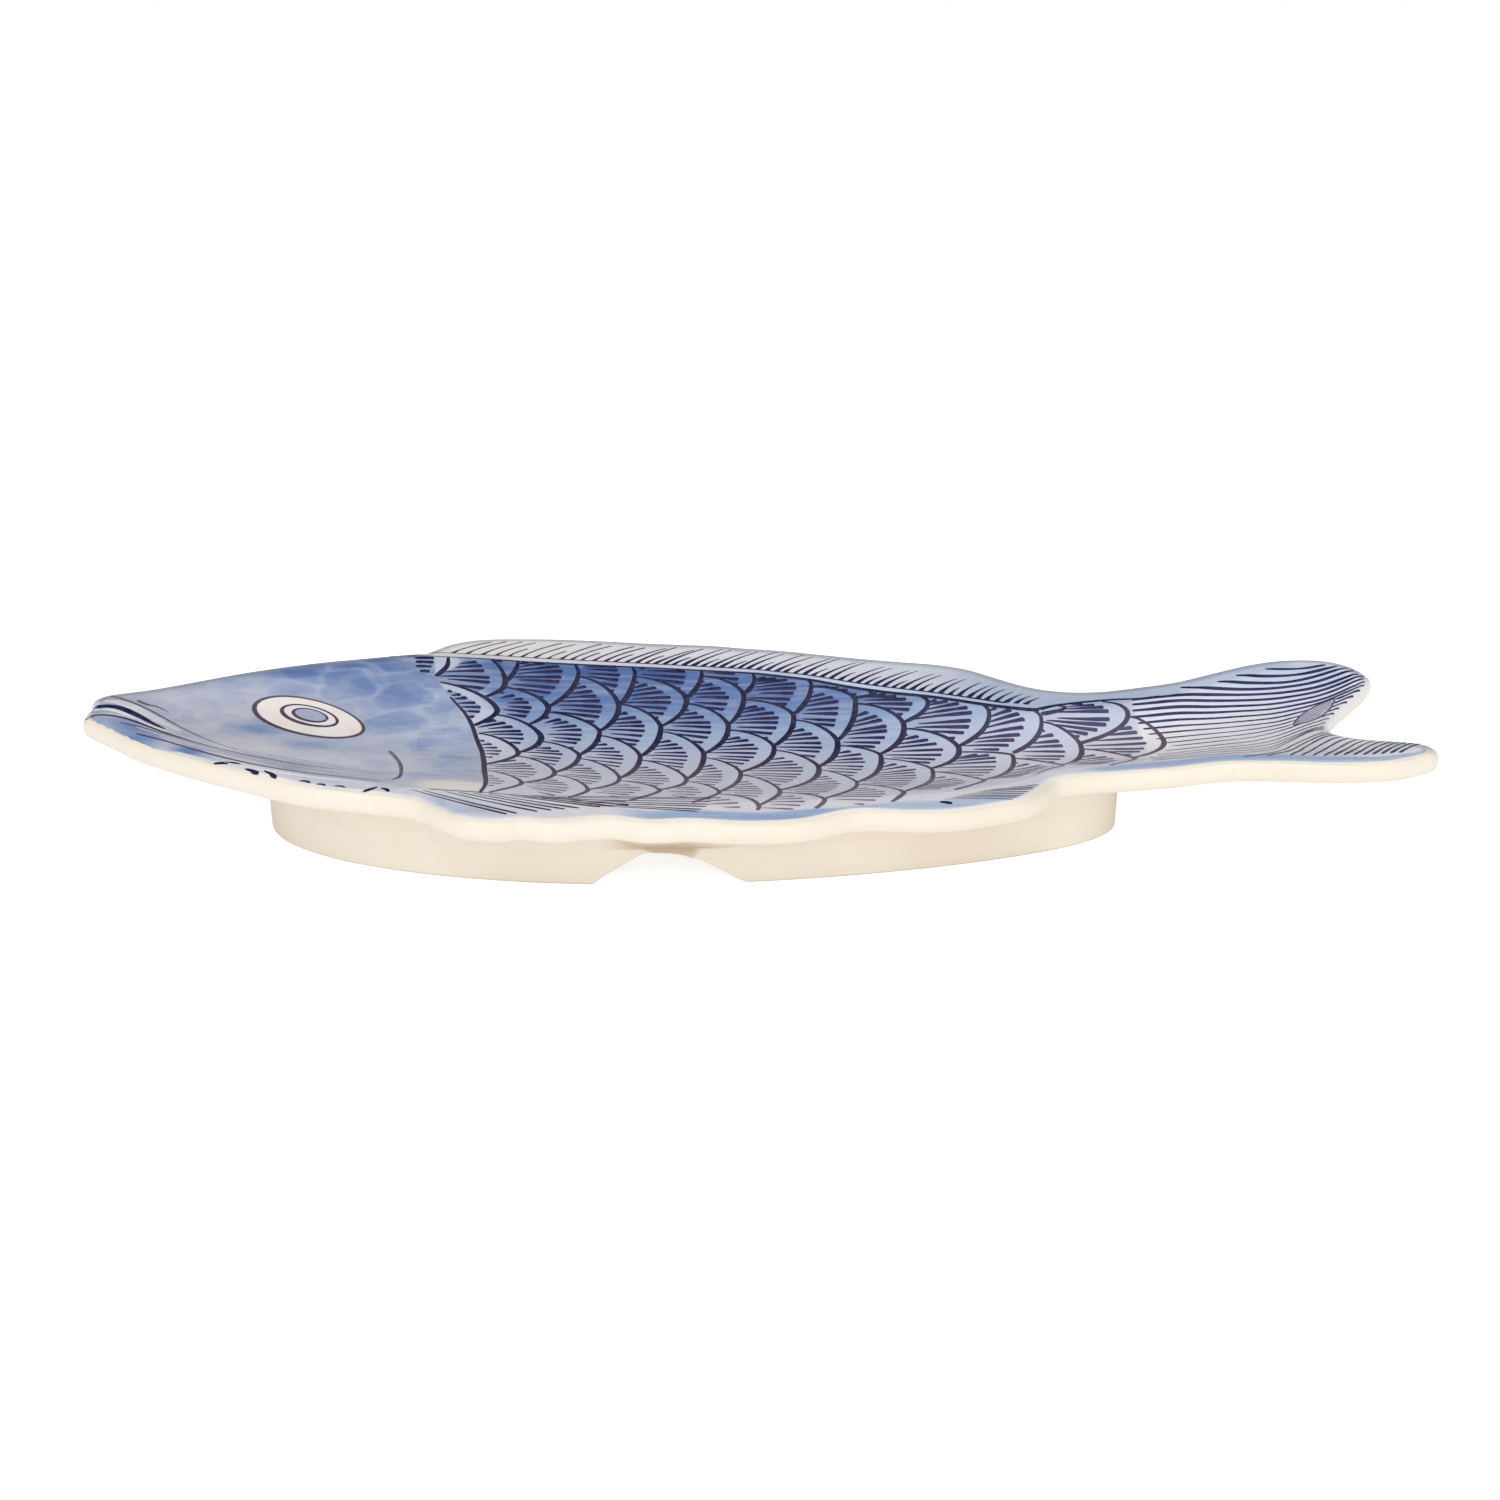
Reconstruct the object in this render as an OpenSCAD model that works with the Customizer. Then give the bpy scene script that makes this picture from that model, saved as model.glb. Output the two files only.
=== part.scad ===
// Fish shaped platter with a printed face, a rounded rim lip and a foot in two curved halves.
// The head points to -X, the tail to +X, the dorsal fin to +Y and the platter stands on Z = 0.

/* [Overall] */
// Length over the snout and the tail tips
platter_l = 356; // [300:1:420]
// Width over the belly fins and the dorsal fin
platter_w = 153; // [130:1:170]
// Height of the rim along the body
rim_h = 21.5; // [20:0.5:30]
// Extra height of the rim at the snout
head_lift = 5.6; // [2:0.5:9]
// Extra height of the rim at the tail tips
tail_lift = 6; // [2:0.5:9]

/* [Dish] */
// Depth of the well below the rim along the body
well_depth = 6.4; // [4:0.1:7]
// Depth of the shallow trough in the tail
tail_dip = 5; // [3:0.1:6]
// Thickness of the dish under the bottom of the well
plate_t = 4.5; // [3.5:0.1:5]
// Depth of the fork between the two tail tips
tail_fork = 19; // [10:0.5:24]
// Depth of the nick where the lips of the mouth meet
mouth_nick = 1; // [0.5:0.1:1.5]

/* [Rim lip] */
// How far the rounded lip stands out from the printed face
lip_w = 2.5; // [1.5:0.1:3]
// Height of the rounded lip
lip_h = 5; // [4:0.1:6]

/* [Foot] */
// Distance from the snout to the foot
foot_head_gap = 51; // [40:1:60]
// Distance from the tail tips to the foot
foot_tail_gap = 78; // [78:1:100]
// Distance from the belly edge of the rim to the foot
foot_belly_gap = 18.5; // [15:0.5:25]
// Distance from the dorsal edge of the rim to the foot
foot_dorsal_gap = 29.5; // [25:0.5:40]
// Height of the foot
foot_h = 10; // [8:0.5:10.5]
// Thickness of the foot wall
foot_t = 5; // [3:0.5:7]
// Width of the flat ledge that shows on each side of the foot wall
foot_ledge = 0.6; // [0.3:0.1:1]
// Width of the sloping cove between the underside and the foot
cove_w = 10; // [6:0.5:14]
// Width of the slope from the inner ledge to the ceiling inside the foot
hollow_slope_w = 2; // [1:0.5:4]

/* [Drain notches] */
// Width of a notch at the table
notch_w = 38; // [24:1:44]
// Width of a notch under the dish
notch_top_w = 11; // [8:0.5:14]
// Distance of the notches from the middle of the length, towards the head
notch_back = 18; // [5:0.5:30]

/* [Print] */
// Thickness of the printed film under its glaze
print_t = 0.25; // [0.2:0.05:0.5]

/* [Hidden] */

// Overrun of the cutters past what they cut
cut_over = 2;

// One row per rib of the face, from the mouth to the tail tips. A row holds the belly end (x, y), the
// belly and dorsal sides of the well (y, y) and the dorsal end (y, x). The x values are shares of the
// length of the face and the y values are shares of its width.
rib_shares = [
    // snout and head
    [-0.499, -0.024, -0.014, 0.069, 0.083, -0.504],
    [-0.491, -0.048, -0.035, 0.087, 0.104, -0.497],
    [-0.469, -0.100, -0.076, 0.114, 0.135, -0.469],
    [-0.442, -0.166, -0.135, 0.152, 0.180, -0.440],
    [-0.398, -0.240, -0.204, 0.211, 0.246, -0.400],
    [-0.353, -0.301, -0.260, 0.267, 0.305, -0.357],
    [-0.314, -0.346, -0.298, 0.308, 0.346, -0.320],
    [-0.274, -0.364, -0.315, 0.365, 0.381, -0.289],
    // gill, with the root of the dorsal fin and the corner of the first belly fin
    [-0.243, -0.377, -0.329, 0.386, 0.400, -0.270],
    [-0.226, -0.395, -0.332, 0.390, 0.433, -0.261],
    [-0.211, -0.429, -0.336, 0.393, 0.474, -0.250],
    [-0.194, -0.457, -0.339, 0.396, 0.509, -0.229],
    // flank, with the waves of the belly fins and the long dorsal fin
    [-0.174, -0.460, -0.343, 0.398, 0.526, -0.200],
    [-0.157, -0.447, -0.346, 0.398, 0.537, -0.166],
    [-0.137, -0.453, -0.348, 0.396, 0.539, -0.129],
    [-0.117, -0.438, -0.350, 0.390, 0.535, -0.091],
    [-0.097, -0.428, -0.350, 0.384, 0.533, -0.063],
    [-0.071, -0.440, -0.350, 0.376, 0.528, -0.034],
    [-0.043, -0.431, -0.350, 0.366, 0.512, -0.006],
    [-0.003, -0.440, -0.346, 0.348, 0.495, 0.026],
    [0.034, -0.428, -0.339, 0.325, 0.470, 0.057],
    [0.071, -0.384, -0.328, 0.290, 0.443, 0.091],
    [0.109, -0.388, -0.314, 0.252, 0.422, 0.123],
    [0.137, -0.384, -0.298, 0.215, 0.405, 0.151],
    [0.163, -0.362, -0.277, 0.185, 0.377, 0.174],
    [0.189, -0.332, -0.253, 0.163, 0.336, 0.191],
    [0.203, -0.291, -0.225, 0.150, 0.294, 0.207],
    // narrow root of the tail
    [0.216, -0.239, -0.197, 0.145, 0.256, 0.226],
    [0.240, -0.213, -0.180, 0.145, 0.232, 0.251],
    [0.271, -0.206, -0.173, 0.150, 0.222, 0.280],
    [0.306, -0.208, -0.173, 0.158, 0.225, 0.311],
    [0.340, -0.208, -0.175, 0.170, 0.231, 0.343],
    // tail and its tips
    [0.374, -0.232, -0.194, 0.205, 0.260, 0.377],
    [0.414, -0.262, -0.222, 0.242, 0.291, 0.411],
    [0.451, -0.258, -0.225, 0.270, 0.307, 0.443],
    [0.474, -0.234, -0.206, 0.263, 0.298, 0.466],
    [0.486, -0.215, -0.190, 0.232, 0.260, 0.480],
    [0.490, -0.195, -0.177, 0.190, 0.208, 0.485]
];

// Places along the length, as shares of it, where the rim and the well change height
head_rise_shares = [0, -0.43];
tail_rise_shares = [0.245, 0.44];
well_start_shares = [-0.5, -0.27];
well_end_shares = [0.12, 0.28];
// Part of the ribs over which the fork of the tail grows
fork_shares = [0.78, 0.95];
// Middle and half width of the mouth nick, as shares of the mouth's width
nick_shares = [0.62, 0.28];
// Round of the sides of the well, and fullness of the lip
well_power = 1.5;
lip_power = 0.6;
fork_power = 1.6;

// Swell and taper of the foot's plan from its tail end to its head end
foot_taper_shares = [0.125, -0.175];
// Squareness of the foot's ends: the head end is round, the tail end is square with round corners
foot_end_powers = [0.6, 0.1];
// Turn round the foot that each place along the rim runs down to, between the turns of its two ends
end_turns = [4, 176];
foot_turn_shares = [
    [0, 0],
    [0.14, 0.2],
    [0.33, 0.36],
    [0.5, 0.55],
    [0.65, 0.71],
    [0.72, 0.81],
    [0.8, 0.89],
    [1, 1]
];
// Most of the way from the foot to the lip that the cove may take
cove_share = 0.85;
// Rings of the ceiling inside the foot, as shares of its plan
ceiling_shares = [1, 0.66, 0.33];
// Side of a notch: share of its slope's width, then share of the foot's height
notch_side_shares = [[0, 0], [0.12, 0.18], [0.55, 0.62], [0.85, 0.93], [1, 1]];

// Fineness of the surfaces
rib_steps = 2;
fin_cols = 2;
well_cols = 12;
lip_steps = 7;
foot_steps = 120;
// Rows of the table where the head's film meets the flank's, and the flank's meets the tail's
gill_row = 8;
tail_row = 28;

row_n = len(rib_shares);
rib_n = (row_n - 1) * rib_steps;
col_n = well_cols + 2 * fin_cols;
gill_rib = gill_row * rib_steps;
tail_rib = tail_row * rib_steps;
belly_col = fin_cols;
dorsal_col = fin_cols + well_cols;
loop_n = 2 * (rib_n + col_n);

face_l = platter_l - 2 * lip_w;
face_w = platter_w - 2 * lip_w;
foot_l = platter_l - foot_head_gap - foot_tail_gap;
foot_w = platter_w - foot_belly_gap - foot_dorsal_gap;
foot_x = (foot_head_gap - foot_tail_gap) / 2;
foot_y = (foot_belly_gap - foot_dorsal_gap) / 2;
notch_x = -notch_back;

function mix(a, b, t) = a + (b - a) * t;
function clamp(t) = max(0, min(1, t));
function ease(t) = let (c = clamp(t)) c * c * (3 - 2 * c);
function ease_over(x, ends) = ease((x - ends[0]) / (ends[1] - ends[0]));

// Smooth curve through the rows of the table
function row_at(i) = rib_shares[max(0, min(row_n - 1, i))];
function curve(a, b, c, d, t) =
    ((2 * b) + (c - a) * t + (2 * a - 5 * b + 4 * c - d) * t * t + (3 * b - a - 3 * c + d) * t * t * t) / 2;
function rib_row(rib) =
    let (s = rib / rib_steps, i = floor(s))
    curve(row_at(i - 1), row_at(i), row_at(i + 1), row_at(i + 2), s - i);

rib_rows = [for (i = [0:rib_n]) rib_row(i)];
x_lo = min([for (r = rib_rows) min(r[0], r[5])]);
x_hi = max([for (r = rib_rows) max(r[0], r[5])]);
y_lo = min([for (r = rib_rows) r[1]]);
y_hi = max([for (r = rib_rows) r[4]]);

// Heights
function rim_z(x) =
    rim_h
    + head_lift * ease_over(x / platter_l, head_rise_shares)
    + tail_lift * ease_over(x / platter_l, tail_rise_shares);
function dip_at(x) =
    mix(well_depth, tail_dip, ease_over(x / platter_l, well_end_shares))
    * ease_over(x / platter_l, well_start_shares);
function floor_z(x) = rim_z(x) - dip_at(x);

// Points of the face
function col_y(r, j) =
    j < belly_col ? mix(r[1], r[2], j / fin_cols)
    : j > dorsal_col ? mix(r[3], r[4], (j - dorsal_col) / fin_cols)
    : mix(r[2], r[3], (j - belly_col) / well_cols);
function across(r, j) = (col_y(r, j) - r[1]) / (r[4] - r[1]);
function fork(i, f) = tail_fork * ease_over(i / rib_n, fork_shares) * pow(sin(180 * f), fork_power);
function nick(i, f) =
    i > 0 ? 0 : mouth_nick * ease(1 - abs(f - nick_shares[0]) / nick_shares[1]);
function well_shape(j) =
    let (u = clamp(abs(j - col_n / 2) / (well_cols / 2)))
    pow(1 - u * u, well_power);
function face_point(i, j) =
    let (
        r = rib_rows[i],
        f = across(r, j),
        x = (mix(r[0], r[5], f) - x_lo) / (x_hi - x_lo) * face_l - face_l / 2 - fork(i, f) + nick(i, f),
        y = (col_y(r, j) - y_lo) / (y_hi - y_lo) * face_w - face_w / 2
    )
    [x, y, rim_z(x) - dip_at(x) * well_shape(j)];

face_points = [for (i = [0:rib_n]) for (j = [0:col_n]) face_point(i, j)];
function face_id(i, j) = i * (col_n + 1) + j;

// Edge of the face, once round: belly side, tail, dorsal side, mouth
edge_ids = concat(
    [for (i = [0:rib_n - 1]) face_id(i, 0)],
    [for (j = [0:col_n - 1]) face_id(rib_n, j)],
    [for (i = [rib_n:-1:1]) face_id(i, col_n)],
    [for (j = [col_n:-1:1]) face_id(0, j)]
);
edge_points = [for (e = edge_ids) face_points[e]];
edge_outs = [
    for (k = [0:loop_n - 1])
        let (
            a = edge_points[(k + loop_n - 1) % loop_n],
            b = edge_points[(k + 1) % loop_n],
            d = [b.y - a.y, a.x - b.x]
        )
        d / norm(d)
];

// Rounded lip outside the face
function lip_ring(turn) = [
    for (k = [0:loop_n - 1])
        let (p = edge_points[k], out = edge_outs[k] * lip_w * pow(sin(turn), lip_power))
        [p.x + out.x, p.y + out.y, p.z - lip_h / 2 * (1 - cos(turn))]
];

// Plan of the foot: the outer wall where grow is 0, the inner wall where it is -foot_t
function foot_point(turn, grow, part = 1) =
    let (
        c = cos(turn),
        s = sin(turn),
        w = (foot_w / 2 + grow) * (1 + foot_taper_shares[0] * c + foot_taper_shares[1] * c * c),
        y = sign(s) * pow(abs(s), foot_end_powers[0] + foot_end_powers[1] * c)
    )
    [foot_x - (foot_l / 2 + grow) * c * part, foot_y - w * y * part];
function side_turn(p) =
    mix(end_turns[0], end_turns[1], lookup((p.x + face_l / 2) / face_l, foot_turn_shares));
function edge_turn(k) =
    k < rib_n ? side_turn(edge_points[k])
    : k < rib_n + col_n ? mix(end_turns[1], 360 - end_turns[1], (k - rib_n) / col_n)
    : k < 2 * rib_n + col_n ? 360 - side_turn(edge_points[k])
    : mix(-end_turns[0], end_turns[0], (k - 2 * rib_n - col_n) / col_n);
edge_turns = [for (k = [0:loop_n - 1]) edge_turn(k)];

// Underside: a cove from the lip down to the flat seat of the foot, then the hollow inside the foot
function under_z(x) = max(foot_h, floor_z(x) - plate_t);
function seat_ring(grow) = [for (a = edge_turns) let (p = foot_point(a, grow)) [p.x, p.y, foot_h]];
function hollow_ring(part) = [
    for (a = edge_turns)
        let (p = foot_point(a, -foot_t - foot_ledge - hollow_slope_w, part))
        [p.x, p.y, under_z(p.x)]
];
function cove_ring() =
    let (seat = seat_ring(foot_ledge), rim = lip_ring(180))
    [
        for (k = [0:loop_n - 1])
            let (
                f = min(cove_share, cove_w / norm(rim[k] - seat[k])),
                p = mix(seat[k], rim[k], f)
            )
            [p.x, p.y, max(p.z, floor_z(p.x) - plate_t)]
    ];
hollow_middle = [foot_x, foot_y, under_z(foot_x)];

rings = concat(
    [for (n = [1:lip_steps]) lip_ring(180 * n / lip_steps)],
    [cove_ring(), seat_ring(foot_ledge), seat_ring(-foot_t - foot_ledge)],
    [for (part = ceiling_shares) hollow_ring(part)]
);

function flat_list(lists) = [for (l = lists) each l];
function quad(a, b, c, d) = [[a, b, c], [a, c, d]];
function face_quads(i0, i1, j0, j1) = [
    for (i = [i0:i1 - 1])
        for (j = [j0:j1 - 1])
            each quad(face_id(i, j), face_id(i, j + 1), face_id(i + 1, j + 1), face_id(i + 1, j))
];

face_n = len(face_points);
function ring_id(n, k) = n < 0 ? edge_ids[k % loop_n] : face_n + n * loop_n + k % loop_n;
dish_points = concat(face_points, flat_list(rings), [hollow_middle]);
dish_faces = concat(
    face_quads(0, rib_n, 0, col_n),
    [
        for (n = [-1:len(rings) - 2])
            for (k = [0:loop_n - 1])
                each quad(ring_id(n, k), ring_id(n, k + 1), ring_id(n + 1, k + 1), ring_id(n + 1, k))
    ],
    [
        for (k = [0:loop_n - 1])
            [ring_id(len(rings) - 1, k), ring_id(len(rings) - 1, k + 1), len(dish_points) - 1]
    ]
);

// Film on one field of the face, from rib i0 to rib i1 and from column j0 to column j1
module film(i0, i1, j0, j1) {
    rows = i1 - i0 + 1;
    cols = j1 - j0 + 1;
    low = [for (i = [i0:i1]) for (j = [j0:j1]) face_points[face_id(i, j)]];
    high = [for (p = low) p + [0, 0, print_t]];
    rim = concat(
        [for (i = [0:rows - 2]) i * cols],
        [for (j = [0:cols - 2]) (rows - 1) * cols + j],
        [for (i = [rows - 1:-1:1]) i * cols + cols - 1],
        [for (j = [cols - 1:-1:1]) j]
    );
    n = rows * cols;
    quads = [
        for (i = [0:rows - 2])
            for (j = [0:cols - 2])
                each quad(i * cols + j, i * cols + j + 1, (i + 1) * cols + j + 1, (i + 1) * cols + j)
    ];
    top = [for (q = quads) [q[0] + n, q[1] + n, q[2] + n]];
    bottom = [for (q = quads) [q[2], q[1], q[0]]];
    sides = [
        for (k = [0:len(rim) - 1])
            let (a = rim[k], b = rim[(k + 1) % len(rim)])
            each quad(a + n, b + n, b, a)
    ];
    polyhedron(concat(low, high), concat(top, bottom, sides));
}

module dish_body() {
    color("oldlace")
        polyhedron(dish_points, dish_faces);
}

module foot_ring() {
    linear_extrude(foot_h)
        difference() {
            polygon([for (k = [0:foot_steps - 1]) foot_point(360 * k / foot_steps, 0)]);
            polygon([for (k = [0:foot_steps - 1]) foot_point(360 * k / foot_steps, -foot_t)]);
        }
}

// Everything on one side of the notches: way is 1 towards the tail and -1 towards the head
module notch_side(way) {
    slope_w = (notch_w - notch_top_w) / 2;
    slope = [
        for (s = notch_side_shares)
            [notch_x - way * (notch_w / 2 - slope_w * s[0]), foot_h * s[1]]
    ];
    top_x = slope[len(slope) - 1].x;
    far_x = notch_x + way * platter_l;
    translate([0, platter_w, 0])
        rotate([90, 0, 0])
            linear_extrude(2 * platter_w)
                polygon(concat(
                    [[slope[0].x, -cut_over]],
                    slope,
                    [[top_x, foot_h + cut_over], [far_x, foot_h + cut_over], [far_x, -cut_over]]
                ));
}

module foot_head() {
    color("antiquewhite")
        difference() {
            foot_ring();
            notch_side(1);
        }
}

module foot_tail() {
    color("antiquewhite")
        difference() {
            foot_ring();
            notch_side(-1);
        }
}

module print_head() {
    color("slategray") film(0, gill_rib, 0, col_n);
}

module print_flank() {
    color("steelblue") film(gill_rib, tail_rib, belly_col, dorsal_col);
}

module print_dorsal_fin() {
    color("lightsteelblue") film(gill_rib, tail_rib, dorsal_col, col_n);
}

module print_belly_fins() {
    color("lavender") film(gill_rib, tail_rib, 0, belly_col);
}

module print_tail() {
    color("cornflowerblue") film(tail_rib, rib_n, 0, col_n);
}

dish_body();
foot_head();
foot_tail();
print_head();
print_flank();
print_dorsal_fin();
print_belly_fins();
print_tail();
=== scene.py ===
"""Fish shaped platter: a blue and white print under clear glaze on a cream stoneware body.

Lengths are in mm in the object's own frame: the head points to -X, the tail to +X, the dorsal fin to +Y and
the platter stands on Z = 0. They become metres where a mesh is made. Colours are 0-255 sRGB.
"""
import math

import bmesh
import bpy
import numpy as np
from mathutils.kdtree import KDTree
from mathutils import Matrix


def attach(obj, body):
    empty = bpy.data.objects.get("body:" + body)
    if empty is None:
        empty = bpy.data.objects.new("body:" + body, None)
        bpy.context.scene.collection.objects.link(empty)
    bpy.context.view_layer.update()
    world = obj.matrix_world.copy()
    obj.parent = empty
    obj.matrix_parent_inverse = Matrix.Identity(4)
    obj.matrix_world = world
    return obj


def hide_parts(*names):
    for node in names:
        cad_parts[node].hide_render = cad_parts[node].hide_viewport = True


MM = 0.001

# Sizes of the platter, as in the construction
PLATTER_L = 356.0
PLATTER_W = 153.0
RIM_H = 21.5
HEAD_LIFT = 5.6
TAIL_LIFT = 6.0
WELL_DEPTH = 6.4
TAIL_DIP = 5.0
PLATE_T = 4.5
TAIL_FORK = 19.0
MOUTH_NICK = 1.0
LIP_W = 2.5
LIP_H = 5.0
FOOT_HEAD_GAP = 51.0
FOOT_TAIL_GAP = 78.0
FOOT_BELLY_GAP = 18.5
FOOT_DORSAL_GAP = 29.5
FOOT_H = 10.0
FOOT_T = 5.0
FOOT_LEDGE = 0.6
HOLLOW_SLOPE_W = 2.0
NOTCH_TOP_W = 11.0
NOTCH_BACK = 18.0
PRINT_T = 0.25

# Finish of the foot
FOOT_DRAFT = 0.2
INNER_DRAFT_SHARE = 0.4
FOOT_EDGE_R = 0.5
FILLET_R = 1.2
# The glaze stands this far over the foot's wall and runs this far down it
FOOT_SEAT = 0.08
GLAZE_DROP = 0.5
# The underside slopes down to each notch from this far on its head side and its tail side
NOTCH_REACH = (22.0, 50.0)
# Upper edge of the notches: distance from the middle and height
NOTCH_LINE = [(-19, 0), (-16.9, 2), (-14.1, 3.8), (-10.6, 6), (-7.4, 8.1), (-5.5, 8.7), (-2, 8.7), (1.5, 8.4),
              (4.5, 7.6), (8.6, 5.8), (13.2, 3.2), (16.2, 1.1), (19, 0)]
# The film thins out over this width at the rim, and the dish's face lies deeper under it
FILM_FEATHER = 2.0
FACE_SINK = 0.12
# Height of the ink on the film, and how far strokes run over the lip
INK_LIFT = 0.1
LIP_INK = 2.0
# The colours that wrap over the lip are those this far inside the rim
PAINT_INSET = 1.2
# The finer lip stays inside the flats of the construction's lip
LIP_SHY = 0.07
# The face is shaded as if it began to turn into the lip this far inside the rim, at this angle in radians
LIP_TURN_W = 3.0
LIP_TURN = 0.55

FACE_L = PLATTER_L - 2 * LIP_W
FACE_W = PLATTER_W - 2 * LIP_W
FOOT_L = PLATTER_L - FOOT_HEAD_GAP - FOOT_TAIL_GAP
FOOT_W = PLATTER_W - FOOT_BELLY_GAP - FOOT_DORSAL_GAP
FOOT_X = (FOOT_HEAD_GAP - FOOT_TAIL_GAP) / 2
FOOT_Y = (FOOT_BELLY_GAP - FOOT_DORSAL_GAP) / 2

# One row per rib of the face, from the mouth to the tail tips: belly end (x, y), belly and dorsal sides of
# the well (y, y) and dorsal end (y, x). x values are shares of the face's length, y values of its width.
RIB_SHARES = np.array([
    # snout and head
    [-0.499, -0.024, -0.014, 0.069, 0.083, -0.504],
    [-0.491, -0.048, -0.035, 0.087, 0.104, -0.497],
    [-0.469, -0.100, -0.076, 0.114, 0.135, -0.469],
    [-0.442, -0.166, -0.135, 0.152, 0.180, -0.440],
    [-0.398, -0.240, -0.204, 0.211, 0.246, -0.400],
    [-0.353, -0.301, -0.260, 0.267, 0.305, -0.357],
    [-0.314, -0.346, -0.298, 0.308, 0.346, -0.320],
    [-0.274, -0.364, -0.315, 0.365, 0.381, -0.289],
    # gill, with the root of the dorsal fin and the corner of the first belly fin
    [-0.243, -0.377, -0.329, 0.386, 0.400, -0.270],
    [-0.226, -0.395, -0.332, 0.390, 0.433, -0.261],
    [-0.211, -0.429, -0.336, 0.393, 0.474, -0.250],
    [-0.194, -0.457, -0.339, 0.396, 0.509, -0.229],
    # flank, with the waves of the belly fins and the long dorsal fin
    [-0.174, -0.460, -0.343, 0.398, 0.526, -0.200],
    [-0.157, -0.447, -0.346, 0.398, 0.537, -0.166],
    [-0.137, -0.453, -0.348, 0.396, 0.539, -0.129],
    [-0.117, -0.438, -0.350, 0.390, 0.535, -0.091],
    [-0.097, -0.428, -0.350, 0.384, 0.533, -0.063],
    [-0.071, -0.440, -0.350, 0.376, 0.528, -0.034],
    [-0.043, -0.431, -0.350, 0.366, 0.512, -0.006],
    [-0.003, -0.440, -0.346, 0.348, 0.495, 0.026],
    [0.034, -0.428, -0.339, 0.325, 0.470, 0.057],
    [0.071, -0.384, -0.328, 0.290, 0.443, 0.091],
    [0.109, -0.388, -0.314, 0.252, 0.422, 0.123],
    [0.137, -0.384, -0.298, 0.215, 0.405, 0.151],
    [0.163, -0.362, -0.277, 0.185, 0.377, 0.174],
    [0.189, -0.332, -0.253, 0.163, 0.336, 0.191],
    [0.203, -0.291, -0.225, 0.150, 0.294, 0.207],
    # narrow root of the tail
    [0.216, -0.239, -0.197, 0.145, 0.256, 0.226],
    [0.240, -0.213, -0.180, 0.145, 0.232, 0.251],
    [0.271, -0.206, -0.173, 0.150, 0.222, 0.280],
    [0.306, -0.208, -0.173, 0.158, 0.225, 0.311],
    [0.340, -0.208, -0.175, 0.170, 0.231, 0.343],
    # tail and its tips
    [0.374, -0.232, -0.194, 0.205, 0.260, 0.377],
    [0.414, -0.262, -0.222, 0.242, 0.291, 0.411],
    [0.451, -0.258, -0.225, 0.270, 0.307, 0.443],
    [0.474, -0.234, -0.206, 0.263, 0.298, 0.466],
    [0.486, -0.215, -0.190, 0.232, 0.260, 0.480],
    [0.490, -0.195, -0.177, 0.190, 0.208, 0.485],
])
HEAD_RISE_SHARES = (0.0, -0.43)
TAIL_RISE_SHARES = (0.245, 0.44)
WELL_START_SHARES = (-0.5, -0.27)
WELL_END_SHARES = (0.12, 0.28)
FORK_SHARES = (0.78, 0.95)
NICK_SHARES = (0.62, 0.28)
WELL_POWER = 1.5
LIP_POWER = 0.6
FORK_POWER = 1.6
COVE_POWER = 1.7
FOOT_TAPER_SHARES = (0.125, -0.175)
FOOT_END_POWERS = (0.6, 0.1)
END_TURNS = (4.0, 176.0)
FOOT_TURN_SHARES = ((0, 0), (0.14, 0.2), (0.33, 0.36), (0.5, 0.55), (0.65, 0.71), (0.72, 0.81), (0.8, 0.89),
                    (1, 1))
CEILING_SHARES = (1, 0.66, 0.33)
FOOT_WALL_SHARES = (1, 0.96, 0.75, 0.5, 0.25)
# Ribs per row in the construction, and its rows where the films meet
CAD_RIB_STEPS = 2
GILL_ROW = 8
TAIL_ROW = 28
ROW_N = len(RIB_SHARES)

# Fineness of the meshes
SHELL_STEPS = 6
SHELL_WELL_COLS = 32
SHELL_FIN_COLS = 4
LIP_STEPS = 20
# Steps of the lip that the print wraps over
WRAP_STEPS = 9
COVE_STEPS = 28
FILM_STEPS = 14
FILM_WELL_COLS = 100
FILM_FIN_COLS = 28
EDGE_PITCH = 0.25
FOOT_STEPS = 240
EYE_STEPS = 96
STROKE_STEP = 0.6
# Points this close, in metres, are welded
WELD = 1e-6


# Small helpers
def mix(a, b, t):
    return a + (b - a) * t


def clamp(t):
    return np.clip(t, 0.0, 1.0)


def ease(t):
    c = clamp(t)
    return c * c * (3 - 2 * c)


def ease_over(x, ends):
    return ease((x - ends[0]) / (ends[1] - ends[0]))


def window(x, a, b, c, d):
    """1 from b to c, and 0 outside a and d."""
    return ease_over(x, (a, b)) * ease_over(x, (d, c))


def soft_step(value, width=1.2):
    return ease(value / width + 0.5)


def unit(vectors):
    return vectors / np.linalg.norm(vectors, axis=-1, keepdims=True)


def outward(loop):
    """Unit plan vectors that point out of a closed line."""
    d = np.roll(loop, -1, axis=0) - np.roll(loop, 1, axis=0)
    return unit(d[:, 1::-1] * (1, -1))


def raised(xy, z):
    """Plan points or directions with a height, or one height each."""
    return np.column_stack([xy, np.broadcast_to(z, len(xy))])


def linear(colour):
    """Scene-linear values of a colour, or of an array of colours."""
    c = np.asarray(colour, dtype=float) / 255
    return np.where(c <= 0.04045, c / 12.92, ((c + 0.055) / 1.055) ** 2.4)


def rgb(colour):
    return tuple(float(v) for v in linear(colour))


def cubic(a, b, c, d, t):
    """Smooth curve from b to c, between their neighbours a and d."""
    return (2 * b + (c - a) * t + (2 * a - 5 * b + 4 * c - d) * t ** 2 + (3 * b - a - 3 * c + d) * t ** 3) / 2


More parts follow.
